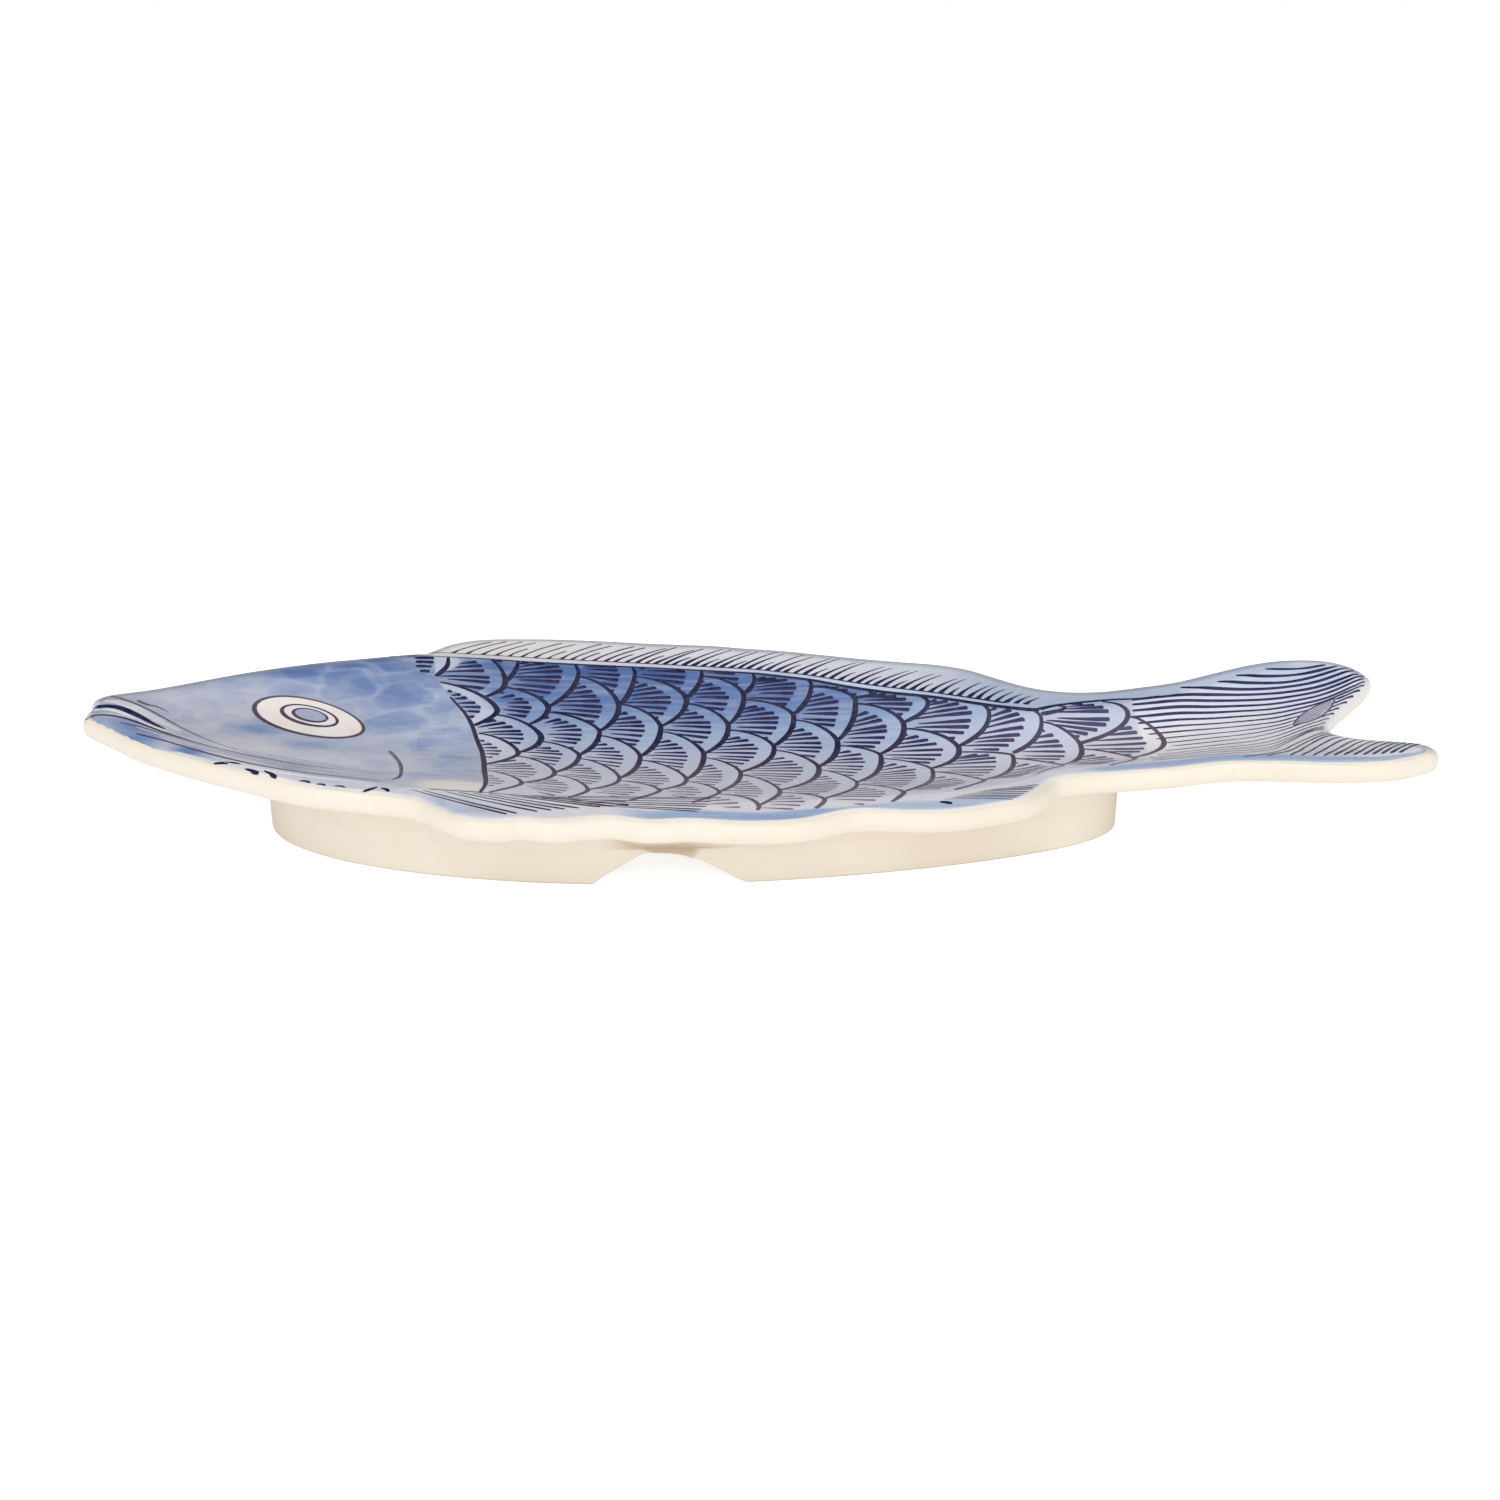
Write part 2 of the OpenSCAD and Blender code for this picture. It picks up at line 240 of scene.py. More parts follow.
def spline(points, step=STROKE_STEP):
    """Smooth curve through plan points, sampled about every step."""
    p = np.asarray(points, dtype=float)
    padded = np.vstack([2 * p[0] - p[1], p, 2 * p[-1] - p[-2]])
    out = []
    for a, b, c, d in zip(padded, padded[1:], padded[2:], padded[3:]):
        n = max(2, math.ceil(np.linalg.norm(c - b) / step))
        out.append(cubic(a, b, c, d, np.arange(n)[:, None] / n))
    return np.vstack(out + [p[-1:]])


def run_of(line):
    """Length along a line up to each of its points."""
    return np.concatenate([[0], np.cumsum(np.linalg.norm(np.diff(line, axis=0), axis=1))])


def at_run(line, run, at):
    return np.stack([np.interp(at, run, column) for column in line.T], axis=-1)


def even_line(line, pitch):
    """The same line with points an even pitch apart."""
    run = run_of(line)
    return at_run(line, run, np.linspace(0, run[-1], max(2, int(run[-1] / pitch))))


def even_count(line, n):
    """n points at even steps through those of a line."""
    return at_run(line, np.linspace(0, 1, len(line)), np.linspace(0, 1, n))


def inside(points, polygon):
    """True for each plan point inside the polygon."""
    result = np.zeros(len(points), dtype=bool)
    box = ((points >= polygon.min(axis=0)) & (points <= polygon.max(axis=0))).all(axis=1)
    x, y = points[box].T
    hit = result[box]
    for a, b in zip(polygon, np.roll(polygon, -1, axis=0)):
        if a[1] != b[1]:
            over = (a[1] > y) != (b[1] > y)
            hit ^= over & (x < a[0] + (b[0] - a[0]) * (y - a[1]) / (b[1] - a[1]))
    result[box] = hit
    return result


def search_tree(points):
    """Search tree of points in plan or in space."""
    tree = KDTree(len(points))
    for k, point in enumerate(points.tolist()):
        tree.insert((*point, 0)[:3], k)
    tree.balance()
    return tree


def nearest(tree, points):
    """Index of the nearest point of a plan tree, and its distance, for each plan point."""
    found = [tree.find((x, y, 0))[1:] for x, y in points.tolist()]
    return np.array([f[0] for f in found]), np.array([f[1] for f in found])


# The face: the printed top surface
def rib_row(s):
    """Row of the table at each place s, counted in rows: a smooth curve through the rows."""
    s = np.asarray(s, dtype=float)
    i = np.floor(s).astype(int)
    rows = (RIB_SHARES[np.clip(i + k, 0, ROW_N - 1)] for k in (-1, 0, 1, 2))
    return cubic(*rows, (s - i)[..., None])


CAD_ROWS = rib_row(np.arange((ROW_N - 1) * CAD_RIB_STEPS + 1) / CAD_RIB_STEPS)
X_LO = CAD_ROWS[:, [0, 5]].min()
X_HI = CAD_ROWS[:, [0, 5]].max()
Y_LO = CAD_ROWS[:, 1].min()
Y_HI = CAD_ROWS[:, 4].max()


def rim_z(x):
    return (RIM_H + HEAD_LIFT * ease_over(x / PLATTER_L, HEAD_RISE_SHARES)
            + TAIL_LIFT * ease_over(x / PLATTER_L, TAIL_RISE_SHARES))


def dip_at(x):
    return (mix(WELL_DEPTH, TAIL_DIP, ease_over(x / PLATTER_L, WELL_END_SHARES))
            * ease_over(x / PLATTER_L, WELL_START_SHARES))


def face_xyz(s, q):
    """Face points. s is the place along the fish in rows. q is 0 to 1 over the belly fins, 1 to 2 over the
    well and 2 to 3 over the dorsal fin."""
    s, q = np.broadcast_arrays(np.asarray(s, dtype=float), np.asarray(q, dtype=float))
    x_belly, y_belly, y_low, y_high, y_dorsal, x_dorsal = np.moveaxis(rib_row(s), -1, 0)
    y_share = np.where(q < 1, mix(y_belly, y_low, q),
                       np.where(q > 2, mix(y_high, y_dorsal, q - 2), mix(y_low, y_high, q - 1)))
    f = (y_share - y_belly) / (y_dorsal - y_belly)
    fork = TAIL_FORK * ease_over(s / (ROW_N - 1), FORK_SHARES) * np.sin(math.pi * clamp(f)) ** FORK_POWER
    nick = MOUTH_NICK * ease(1 - abs(f - NICK_SHARES[0]) / NICK_SHARES[1]) * clamp(1 - s * CAD_RIB_STEPS)
    x = (mix(x_belly, x_dorsal, f) - X_LO) / (X_HI - X_LO) * FACE_L - FACE_L / 2 - fork + nick
    y = (y_share - Y_LO) / (Y_HI - Y_LO) * FACE_W - FACE_W / 2
    u = clamp(abs(2 * (q - 1.5)))
    return np.stack([x, y, rim_z(x) - dip_at(x) * (1 - u * u) ** WELL_POWER], axis=-1)


def across_places(well_cols, fin_cols):
    return np.concatenate([np.arange(fin_cols) / fin_cols, 1 + np.arange(well_cols) / well_cols,
                           2 + np.arange(fin_cols + 1) / fin_cols])


SHELL_S = np.arange((ROW_N - 1) * SHELL_STEPS + 1) / SHELL_STEPS
SHELL_Q = across_places(SHELL_WELL_COLS, SHELL_FIN_COLS)


def face_edge():
    """Points once round the face: belly side, tail, dorsal side, mouth."""
    s, q = SHELL_S, SHELL_Q
    return np.vstack([face_xyz(s[:-1], 0), face_xyz(s[-1], q[:-1]), face_xyz(s[:0:-1], 3),
                      face_xyz(0, q[:0:-1])])


EDGE_LINE = even_line(face_edge()[:, :2], EDGE_PITCH)
EDGE_TREE = search_tree(EDGE_LINE)
EDGE_OUT = unit(np.gradient(EDGE_LINE, axis=0)[:, ::-1] * (1, -1))

# The search for a face point starts from a coarse grid of places and mends them in short steps
SEEK_S, SEEK_Q = (g.ravel() for g in np.meshgrid(np.linspace(0, ROW_N - 1, 186), np.linspace(0, 3, 46)))
SEEK_TREE = search_tree(face_xyz(SEEK_S, SEEK_Q)[:, :2])
SEEK_ROUNDS = 6
SEEK_STEPS = (0.5, 0.2)


def place_on_face(xy):
    """(s, q) of the face point over each plan point."""
    near, _ = nearest(SEEK_TREE, xy)
    s, q = SEEK_S[near], SEEK_Q[near]
    e = 1e-4
    for _ in range(SEEK_ROUNDS):
        sx, sy = (face_xyz(s + e, q)[:, :2] - face_xyz(s - e, q)[:, :2]).T / (2 * e)
        qx, qy = (face_xyz(s, q + e)[:, :2] - face_xyz(s, q - e)[:, :2]).T / (2 * e)
        dx, dy = (xy - face_xyz(s, q)[:, :2]).T
        det = sx * qy - sy * qx
        det = np.where(abs(det) < 1e-6, 1e-6, det)
        limit_s, limit_q = SEEK_STEPS
        s = np.clip(s + np.clip((dx * qy - dy * qx) / det, -limit_s, limit_s), 0, ROW_N - 1)
        q = np.clip(q + np.clip((sx * dy - sy * dx) / det, -limit_q, limit_q), 0, 3)
    return s, q


def face_normal(s, q):
    """Unit normals of the face, upwards."""
    e = 1e-3
    along = face_xyz(np.minimum(s + e, ROW_N - 1), q) - face_xyz(np.maximum(s - e, 0), q)
    across = face_xyz(s, np.minimum(q + e, 3)) - face_xyz(s, np.maximum(q - e, 0))
    n = unit(np.cross(along, across))
    return n * np.sign(n[..., 2:])


def turned_normals(s, q, xy):
    """Normals of the face that lean outwards at the rim, so that it runs softly into the lip."""
    places, rim = nearest(EDGE_TREE, xy)
    lean = math.tan(LIP_TURN) * ease(1 - rim / LIP_TURN_W)
    return unit(face_normal(s, q).reshape(-1, 3) + raised(EDGE_OUT[places] * lean[:, None], 0))


def rim_distance(xy):
    return nearest(EDGE_TREE, xy)[1]


def lay_on_face(xy, lift):
    """Points on the film over plan points, lifted by a share of the ink's height. Points beyond the rim lie
    on the lip."""
    points = face_xyz(*place_on_face(xy))
    film = (PRINT_T - INK_LIFT) * ease(rim_distance(points[:, :2]) / FILM_FEATHER)
    off = xy - points[:, :2]
    over = np.linalg.norm(off, axis=1)
    reach = np.minimum(over, LIP_INK)
    turn = np.arcsin((reach / (LIP_W - LIP_SHY)) ** (1 / LIP_POWER))
    points[:, :2] += off * (reach / np.maximum(over, 1e-9))[:, None]
    points[:, 2] += film + INK_LIFT * lift - LIP_H / 2 * (1 - np.cos(turn))
    return points


# Meshes
def make_piece(name, points, faces, material, attributes=None, normals=None, turn_out=False,
               weld=False):
    """Smooth mesh piece from points in mm. attributes gives arrays of colours or values on the points, by
    name. A zero normal is left to the mesh."""
    mesh = bpy.data.meshes.new(name)
    mesh.from_pydata((points * MM).tolist(), [], faces)
    for key, array in (attributes or {}).items():
        if array.ndim == 2:
            attribute = mesh.attributes.new(key, "FLOAT_COLOR", "POINT")
            attribute.data.foreach_set("color", raised(linear(array), 1).astype(np.float32).ravel())
        else:
            attribute = mesh.attributes.new(key, "FLOAT", "POINT")
            attribute.data.foreach_set("value", array.astype(np.float32))
    own = slice(None)
    if turn_out or weld:
        bm = bmesh.new()
        bm.from_mesh(mesh)
        if weld:
            bmesh.ops.remove_doubles(bm, verts=bm.verts, dist=WELD)
        bmesh.ops.recalc_face_normals(bm, faces=bm.faces)
        bm.to_mesh(mesh)
        bm.free()
    if weld:
        tree = search_tree(points)
        own = [tree.find(v.co / MM)[1] for v in mesh.vertices]
    mesh.polygons.foreach_set("use_smooth", [True] * len(mesh.polygons))
    mesh.update()
    if normals is not None:
        mesh.normals_split_custom_set_from_vertices(normals[own].tolist())
    mesh.materials.append(material)
    piece = bpy.data.objects.new(name, mesh)
    bpy.context.scene.collection.objects.link(piece)
    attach(piece, "root")
    return piece


def grid_faces(rows, cols):
    i, j = np.meshgrid(np.arange(rows - 1), np.arange(cols - 1), indexing="ij")
    a = (i * cols + j).ravel()
    return np.stack([a, a + cols, a + cols + 1, a + 1], axis=1).tolist()


def ring_faces(ring_n, loop_n, first):
    """Faces of rings of loop_n points each, one after another."""
    n, k = np.meshgrid(np.arange(ring_n - 1), np.arange(loop_n), indexing="ij")
    a = (first + n * loop_n + k).ravel()
    b = (first + n * loop_n + (k + 1) % loop_n).ravel()
    return np.stack([a, b, b + loop_n, a + loop_n], axis=1).tolist()


def fan_faces(loop_n, first):
    """Faces from a ring to the point after it."""
    return [(first + k, first + (k + 1) % loop_n, first + loop_n) for k in range(loop_n)]


# Dish shell: face under the print, lip, underside
def foot_plan(turn, grow, part=1.0):
    """Plan of the foot at a turn in degrees: the outer wall where grow is 0."""
    c = np.cos(np.radians(turn))
    s = np.sin(np.radians(turn))
    w = (FOOT_W / 2 + grow) * (1 + FOOT_TAPER_SHARES[0] * c + FOOT_TAPER_SHARES[1] * c * c)
    y = np.sign(s) * abs(s) ** (FOOT_END_POWERS[0] + FOOT_END_POWERS[1] * c)
    return np.stack([FOOT_X - (FOOT_L / 2 + grow) * c * part, FOOT_Y - w * y * part], axis=-1)


def underside_z(x):
    return np.maximum(FOOT_H, rim_z(x) - dip_at(x) - PLATE_T)


def notch_low(x):
    """Height of the standing edge over the table at each x: up the side of a notch near it."""
    line = spline(NOTCH_LINE)
    return np.maximum(np.interp(x + NOTCH_BACK, line[:, 0], line[:, 1], left=0, right=0), 0)


def edge_turns(edge):
    """Turn round the foot that each place along the rim runs down to."""
    rib_n, col_n = len(SHELL_S) - 1, len(SHELL_Q) - 1
    shares = np.interp((edge[:, 0] + FACE_L / 2) / FACE_L, *zip(*FOOT_TURN_SHARES))
    side = mix(END_TURNS[0], END_TURNS[1], shares)
    k = np.arange(len(edge))
    tail = mix(END_TURNS[1], 360 - END_TURNS[1], (k - rib_n) / col_n)
    mouth = mix(-END_TURNS[0], END_TURNS[0], (k - 2 * rib_n - col_n) / col_n)
    return np.select([k < rib_n, k < rib_n + col_n, k < 2 * rib_n + col_n], [side, tail, 360 - side], mouth)


def lip_ring(edge, out, turn):
    return raised(edge[:, :2] + out * (LIP_W - LIP_SHY) * math.sin(turn) ** LIP_POWER,
                  edge[:, 2] - LIP_H / 2 * (1 - math.cos(turn)))


def cove_rings(rim, seat_xy):
    """Rings of the underside from the lip to the foot, and how deep the painted shade on them is at the
    notches.
    """
    off = seat_xy[:, 0] + NOTCH_BACK
    sharp = ease(1.2 - abs(off) / np.where(off < 0, *NOTCH_REACH))
    rings = []
    shades = []
    for n in range(COVE_STEPS + 1):
        t = 1 - (1 - n / COVE_STEPS) ** COVE_POWER
        xy = mix(rim[:, :2], seat_xy, t)
        under_face = np.maximum(face_xyz(*place_on_face(xy))[:, 2] - PLATE_T, FOOT_H)
        level = mix(rim[:, 2], under_face, ease(t / 0.12))
        z = mix(level, np.minimum(level, mix(rim[:, 2], FOOT_H, t)), sharp)
        to_wall = clamp(np.linalg.norm(xy - seat_xy, axis=1) / FILLET_R)
        rings.append(raised(xy, FOOT_H + (z - FOOT_H) * np.sqrt(1 - (1 - to_wall) ** 2)))
        # Painted shade on the underside above each notch, deepest near the foot
        shades.append(ease(1.3 - abs(off) / 14) * mix(0.75, 1.0, ease((t - 0.75) * 4)) * ease(t / 0.7))
    return rings, shades


def hollow_rings(turns):
    """Rings from the foot's wall over its top into the hollow."""
    rings = []
    for grow, drop in ((FOOT_SEAT, GLAZE_DROP), (0, GLAZE_DROP + 0.1), (-FOOT_T / 2, 0), (-FOOT_T, 0)):
        xy = foot_plan(turns, grow)
        web = (FOOT_H - notch_low(xy[:, 0])) * (abs(xy[:, 0] + NOTCH_BACK) < NOTCH_TOP_W / 2 + 0.6)
        rings.append(raised(xy, FOOT_H - np.maximum(web, drop)))
    rings.append(raised(foot_plan(turns, -FOOT_T - FOOT_LEDGE), FOOT_H))
    for part in CEILING_SHARES:
        xy = foot_plan(turns, -FOOT_T - FOOT_LEDGE - HOLLOW_SLOPE_W, part)
        rings.append(raised(xy, underside_z(xy[:, 0])))
    return rings


def lip_paint(edge, out):
    """Colours of the print where it wraps over the lip, and how much of it does."""
    colours, _ = wash_colours(edge[:, :2] - PAINT_INSET * out, np.full(len(edge), PAINT_INSET))
    x, y, _ = edge.T
    snout = ease_over(-x, (158, 166)) * ease_over(y, (-4, -1.5))
    mouth = soft_step(1.2 - abs(y - 0.5), 0.6) * snout
    colours = lay(lay(colours, snout, SNOUT_PALE), mouth, MOUTH_DARK)
    lobe = ease_over(y, (-37, -25))
    at_tail = ease_over(out[:, 0], (0.45, 0.9)) * (out[:, 1] > -0.8) * lobe
    side = ease_over(out[:, 1], (-0.35, 0.1)) * np.where(x > 100, lobe, 1)
    return colours, clamp(side + at_tail + snout)


def build_dish(material):
    s, q = SHELL_S[:, None], SHELL_Q[None, :]
    face = face_xyz(s, q).reshape(-1, 3)
    face_rim = rim_distance(face[:, :2])
    face[:, 2] -= FACE_SINK * ease(face_rim / FILM_FEATHER)
    first = len(face)
    edge = face_edge()
    loop_n = len(edge)
    out = outward(edge)
    turns = edge_turns(edge)
    seat_xy = foot_plan(turns, FOOT_SEAT)
    lip = [lip_ring(edge, out, math.pi * n / LIP_STEPS) for n in range(LIP_STEPS)]
    cove, shades = cove_rings(lip_ring(edge, out, math.pi - 1e-9), seat_xy)
    hollow = hollow_rings(turns)
    rings = lip + cove + hollow
    middle = [[FOOT_X, FOOT_Y, underside_z(FOOT_X)]]
    # The first ring lies on the face's edge: the two are welded
    faces = grid_faces(len(SHELL_S), len(SHELL_Q)) + ring_faces(len(rings), loop_n, first)
    faces += fan_faces(loop_n, first + (len(rings) - 1) * loop_n)

    edge_colours, wrap = lip_paint(edge, out)
    washes = np.vstack([wash_colours(face[:, :2], face_rim)[0], np.tile(edge_colours, (len(rings), 1)),
                        edge_colours[:1]])
    step = np.arange(len(rings))[:, None]
    # Painted shade on the web and in the hollow beside the notches
    inner = 0.8 * ease(1.3 - abs(seat_xy[:, 0] + NOTCH_BACK) / 7)
    shade = np.vstack([np.zeros((LIP_STEPS, loop_n)), shades, np.tile(inner, (len(hollow), 1))])

    def everywhere(on_face, on_rings, at_middle):
        return np.concatenate([np.full(first, float(on_face)), np.ravel(on_rings), [at_middle]])

    # under lays the slightly darker underside cream, a painted shade; shade lays the brown painted shade
    # beside the notches
    attributes = {"wash": washes,
                  "wrap": everywhere(1, wrap * clamp((WRAP_STEPS - step) / 2), 0),
                  "under": everywhere(0, ease((step - LIP_STEPS + 3) / 4) + np.zeros(loop_n), 1),
                  "shade": everywhere(0, shade, 0)}

    points = np.vstack([face] + rings + [middle])
    normals = np.zeros_like(points)
    normals[:first] = turned_normals(s, q, face[:, :2])
    for n in range(LIP_STEPS // 2):
        turn = mix(LIP_TURN, math.pi / 2, 2 * n / LIP_STEPS)
        normals[first + n * loop_n:first + (n + 1) * loop_n] = raised(out * math.sin(turn), math.cos(turn))
    seat = first + (LIP_STEPS + COVE_STEPS) * loop_n
    normals[seat:seat + 3 * loop_n] = np.tile(raised(outward(seat_xy), 0), (3, 1))
    piece = make_piece("dish_shell", points, faces, material, attributes, normals, weld=True)
    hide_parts("dish_body")


# Foot halves: drafted walls, a rounded standing edge and the curved sides of the notches
def build_foot_half(name, node, way, material):
    fine = np.linspace(0, 360, 6 * FOOT_STEPS, endpoint=False)
    side = (foot_plan(fine, -FOOT_T / 2)[:, 0] + NOTCH_BACK) * way > NOTCH_TOP_W / 2
    start = int(np.argmax(side & ~np.roll(side, 1)))
    turns = fine[start] + np.linspace(0, int(side.sum()) - 1, FOOT_STEPS) * (fine[1] - fine[0])
    low = np.minimum(notch_low(foot_plan(turns, -FOOT_T / 2)[:, 0]), FOOT_H)
    section = [(0, mix(low + FOOT_EDGE_R, FOOT_H, share)) for share in FOOT_WALL_SHARES]
    for turn in np.radians([0, 22.5, 45, 67.5, 90]):
        section.append((FOOT_EDGE_R * (1 - math.cos(turn)), low + FOOT_EDGE_R * (1 - math.sin(turn))))
    lines = []
    for inner, rows in ((False, section), (True, section[::-1])):
        for inset, z in rows:
            z = np.minimum(z, FOOT_H)
            draft = FOOT_DRAFT * (1 - z / FOOT_H)
            grow = inset + INNER_DRAFT_SHARE * draft - FOOT_T if inner else -draft - inset
            lines.append(raised(foot_plan(turns, grow), z))
    top = np.arange(FOOT_STEPS - 1)
    last = top + (len(lines) - 1) * FOOT_STEPS
    faces = grid_faces(len(lines), FOOT_STEPS) + np.stack([last, last + 1, top + 1, top], axis=1).tolist()
    points = np.vstack(lines)
    low = np.tile(low, len(lines))
    bare = clamp(1 - (points[:, 2] - low) / FOOT_EDGE_R) * (low < FOOT_EDGE_R)
    piece = make_piece(name, points, faces, material, {"bare": bare}, turn_out=True)
    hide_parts(node)


# Layout of the print, in plan. Lines run from the head to the tail.
GILL_LINE = [(-91, 53), (-88.5, 38), (-83, 27), (-78, 18), (-75, 10), (-72.5, 0), (-70, -10), (-68.3, -20),
             (-67, -30), (-65.5, -40), (-64.7, -48), (-65, -56)]
BODY_LINE = [(-104, 50.6), (-95, 51.6), (-85, 52), (-75, 51.9), (-60, 51.4), (-40, 51.1), (-20, 49.9),
             (0, 47.3), (10, 44.4), (20, 40.6), (30, 35.2), (40, 30.6), (50, 26.9), (60, 22.4), (70, 17.6),
             (78, 15), (82, 14.6)]
TAIL_TOP_LINE = [(82, 14.6), (88, 17.8), (95, 19.6), (103, 20), (110, 18.8), (116, 19)]
BELLY_LINE = [(-90, -54), (-78, -55), (-65, -55.5), (-50, -56.5), (-40, -57), (-28, -57.5), (-15, -57),
              (-8, -59), (-2, -62), (4, -62.7), (12, -62), (20, -61), (30, -58.6), (40, -56), (50, -52.5),
              (60, -48.5), (70, -43), (78, -38.5), (88, -34.5), (103, -30)]
# Width of the pale band between the body and the dorsal fin
BAND_W = 3.3

# Tips of the scales: for each row its first column and the tips. A scale's left neighbour is one column back,
# its upper neighbour one row and one column back, and its lower neighbour one row on.
SCALE_TIPS = {
    0: (0, [(-66, 50)]),
    1: (-1, [(-86, 46), (-68.5, 36.5), (-48, 45), (-31.7, 46), (-12.3, 47), (3, 43)]),
    2: (0, [(-69, 19.7), (-55, 23), (-35.3, 25), (-16.3, 30.3), (0, 32.3), (19.3, 38.3), (36.3, 29.3)]),
    3: (1, [(-55.3, 3), (-39.7, 9), (-23, 13), (-4.3, 14.3), (14, 19.7), (31.5, 27), (51.7, 22.7)]),
    4: (1, [(-60.3, -10.3), (-44, -9.7), (-27.7, -9), (-10.7, -5.7), (8.3, 0.3), (25.7, 3.3), (44.3, 12),
            (68, 14.7), (89.3, 16)]),
    5: (2, [(-49, -28.3), (-32, -31.7), (-14.7, -30.3), (-0.7, -21.7), (20, -16), (37, -6), (58.3, -2.7),
            (82, 10.7), (106, 12)]),
    6: (2, [(-56, -43.5), (-39, -48), (-21, -45), (-6, -46), (9.3, -44.3), (29.3, -33.3), (50, -17.3),
            (72.3, -8), (91.3, -2.7), (113.5, -3)]),
    7: (6, [(4, -60), (20.3, -55), (40.3, -49), (62, -34), (84, -21), (103.5, -17)]),
}
# From a scale's tip to the tips of neighbours that the table doesn't have
UPPER_STEP = (-12.5, 17)
LOWER_STEP = (-9, -15)
LEFT_STEP = (-18, -4)
# Width of the plain crescent inside a scale's outline, and how far apart the strokes behind it end
CRESCENT_W = 4.9
STROKE_PITCH = 3.15
# Starts and ends of outlines, and left corners, that don't follow from a neighbour
OWN_STARTS = {(1, -1): (-88.5, 57), (1, 0): (-78, 54), (1, 1): (-60, 60), (2, 0): (-89.5, 35.6),
              (3, 3): (-35.3, 27.3), (2, 5): (9, 45), (2, 6): (27, 37.5), (3, 7): (37, 32), (4, 8): (57, 25),
              (4, 9): (80, 17.5), (5, 9): (70, 18.5), (5, 10): (94, 21)}
OWN_ENDS = {(1, -1): (-90, 35.8), (1, 0): (-73, 28.5), (2, 1): (-59.5, 12.5)}
OWN_CORNERS = {(1, 0): (-89, 35.6)}
# Scales without strokes
BARE_SCALES = {(1, -1)}
OUTLINE_POWER = 2 / 1.65


def line_y(line, x):
    return np.interp(x, *zip(*line))


def gill_x(y):
    xs, ys = zip(*GILL_LINE[::-1])
    return np.interp(y, ys, xs)


class Scales:
    """Outlines and stroke fields of the scales."""

    def __init__(self):
        self.tips = {}
        for row, (first, tips) in SCALE_TIPS.items():
            for k, tip in enumerate(tips):
                self.tips[row, first + k] = np.array(tip, dtype=float)
        self.zone = np.array([(x, y - 0.6) for x, y in BODY_LINE + TAIL_TOP_LINE[1:]] + [(120, -30)]
                             + [(x, y + 0.3) for x, y in BELLY_LINE[:1:-1]]
                             + [(x + 0.3, y) for x, y in GILL_LINE[:0:-1]])

    def upper(self, row, col):
        return self.tips.get((row - 1, col - 1), self.tips[row, col] + UPPER_STEP)

    def lower(self, row, col):
        return self.tips.get((row + 1, col), self.tips[row, col] + LOWER_STEP)

    def left(self, row, col):
        left = self.tips.get((row, col - 1), self.tips[row, col] + LEFT_STEP)
        return np.array(OWN_CORNERS.get((row, col), left), dtype=float)

    def outline(self, row, col):
        """Outline from its start at the upper neighbour over the tip to its end at the lower neighbour."""
        tip = self.tips[row, col]
        start = OWN_STARTS.get((row, col), self.upper(row, col) + (0.2, -2.2))
        end = OWN_ENDS.get((row, col), self.lower(row, col) + (0.2, 1.4))
        turn = np.linspace(0, math.pi / 2, 26)
        upper = np.stack([mix(start[0], tip[0], np.sin(turn) ** OUTLINE_POWER),
                          mix(tip[1], start[1], np.cos(turn) ** OUTLINE_POWER)], axis=1)
        t = np.linspace(0, 1, 14)[1:]
        bend = 2.2 if (row + 1, col) in self.tips else 1.5
        lower = np.stack([mix(tip[0], end[0], t ** bend), mix(tip[1], end[1], t)], axis=1)
        return np.vstack([upper, lower])

    def region(self, row, col):
        """Part of a scale that its neighbours leave in view."""
        left, upper, lower = self.left(row, col), self.upper(row, col), self.lower(row, col)
        above = [left + (0.4, 3.4), mix(left + (0.4, 3.4), upper, 0.45) + (2.0, 0.0), upper]
        if (row - 1, col - 1) in self.tips:
            line = self.outline(row - 1, col - 1)
            above = line[line[:, 1] <= upper[1]][::-1]
        below = [lower, mix(lower, left, 0.4) + (0, 3), left]
        if (row + 1, col) in self.tips:
            line = self.outline(row + 1, col)
            below = line[line[:, 1] >= lower[1]][::-1]
        return np.vstack([self.outline(row, col), below, above])

    def fan_arc(self, row, col):
        """Line on which the strokes of a scale end."""
        own = self.outline(row, col)
        t = np.linspace(0, 1, len(own))
        return own - np.stack([CRESCENT_W * (1 - 0.12 * t), 2.0 - 3.2 * t], axis=1)


SCALES = Scales()

# Lens of fine hatching near the fork of the tail: middle, half sizes and turn in degrees
HATCH_AT = (156, 5.9)
HATCH_SIZE = (10.5, 2.5)
HATCH_TURN = 45.6


def turned(u, v, degrees):
    """Plan vectors u along and v across a direction."""
    c, s = math.cos(math.radians(degrees)), math.sin(math.radians(degrees))
    return np.stack([u * c - v * s, u * s + v * c], axis=-1)


def lens_depth(xy):
    """How deep plan points lie inside the lens, in mm."""
    along, across = (turned(*(xy - HATCH_AT).T, -HATCH_TURN) / HATCH_SIZE).T
    return (1 - along ** 2 - abs(across)) * HATCH_SIZE[1]


def lens_side(side):
    """One side of the lens's outline, from its lower end to its upper one."""
    u = np.linspace(-1, 1, 25)
    return turned(HATCH_SIZE[0] * u, side * HATCH_SIZE[1] * (1 - u * u), HATCH_TURN) + HATCH_AT
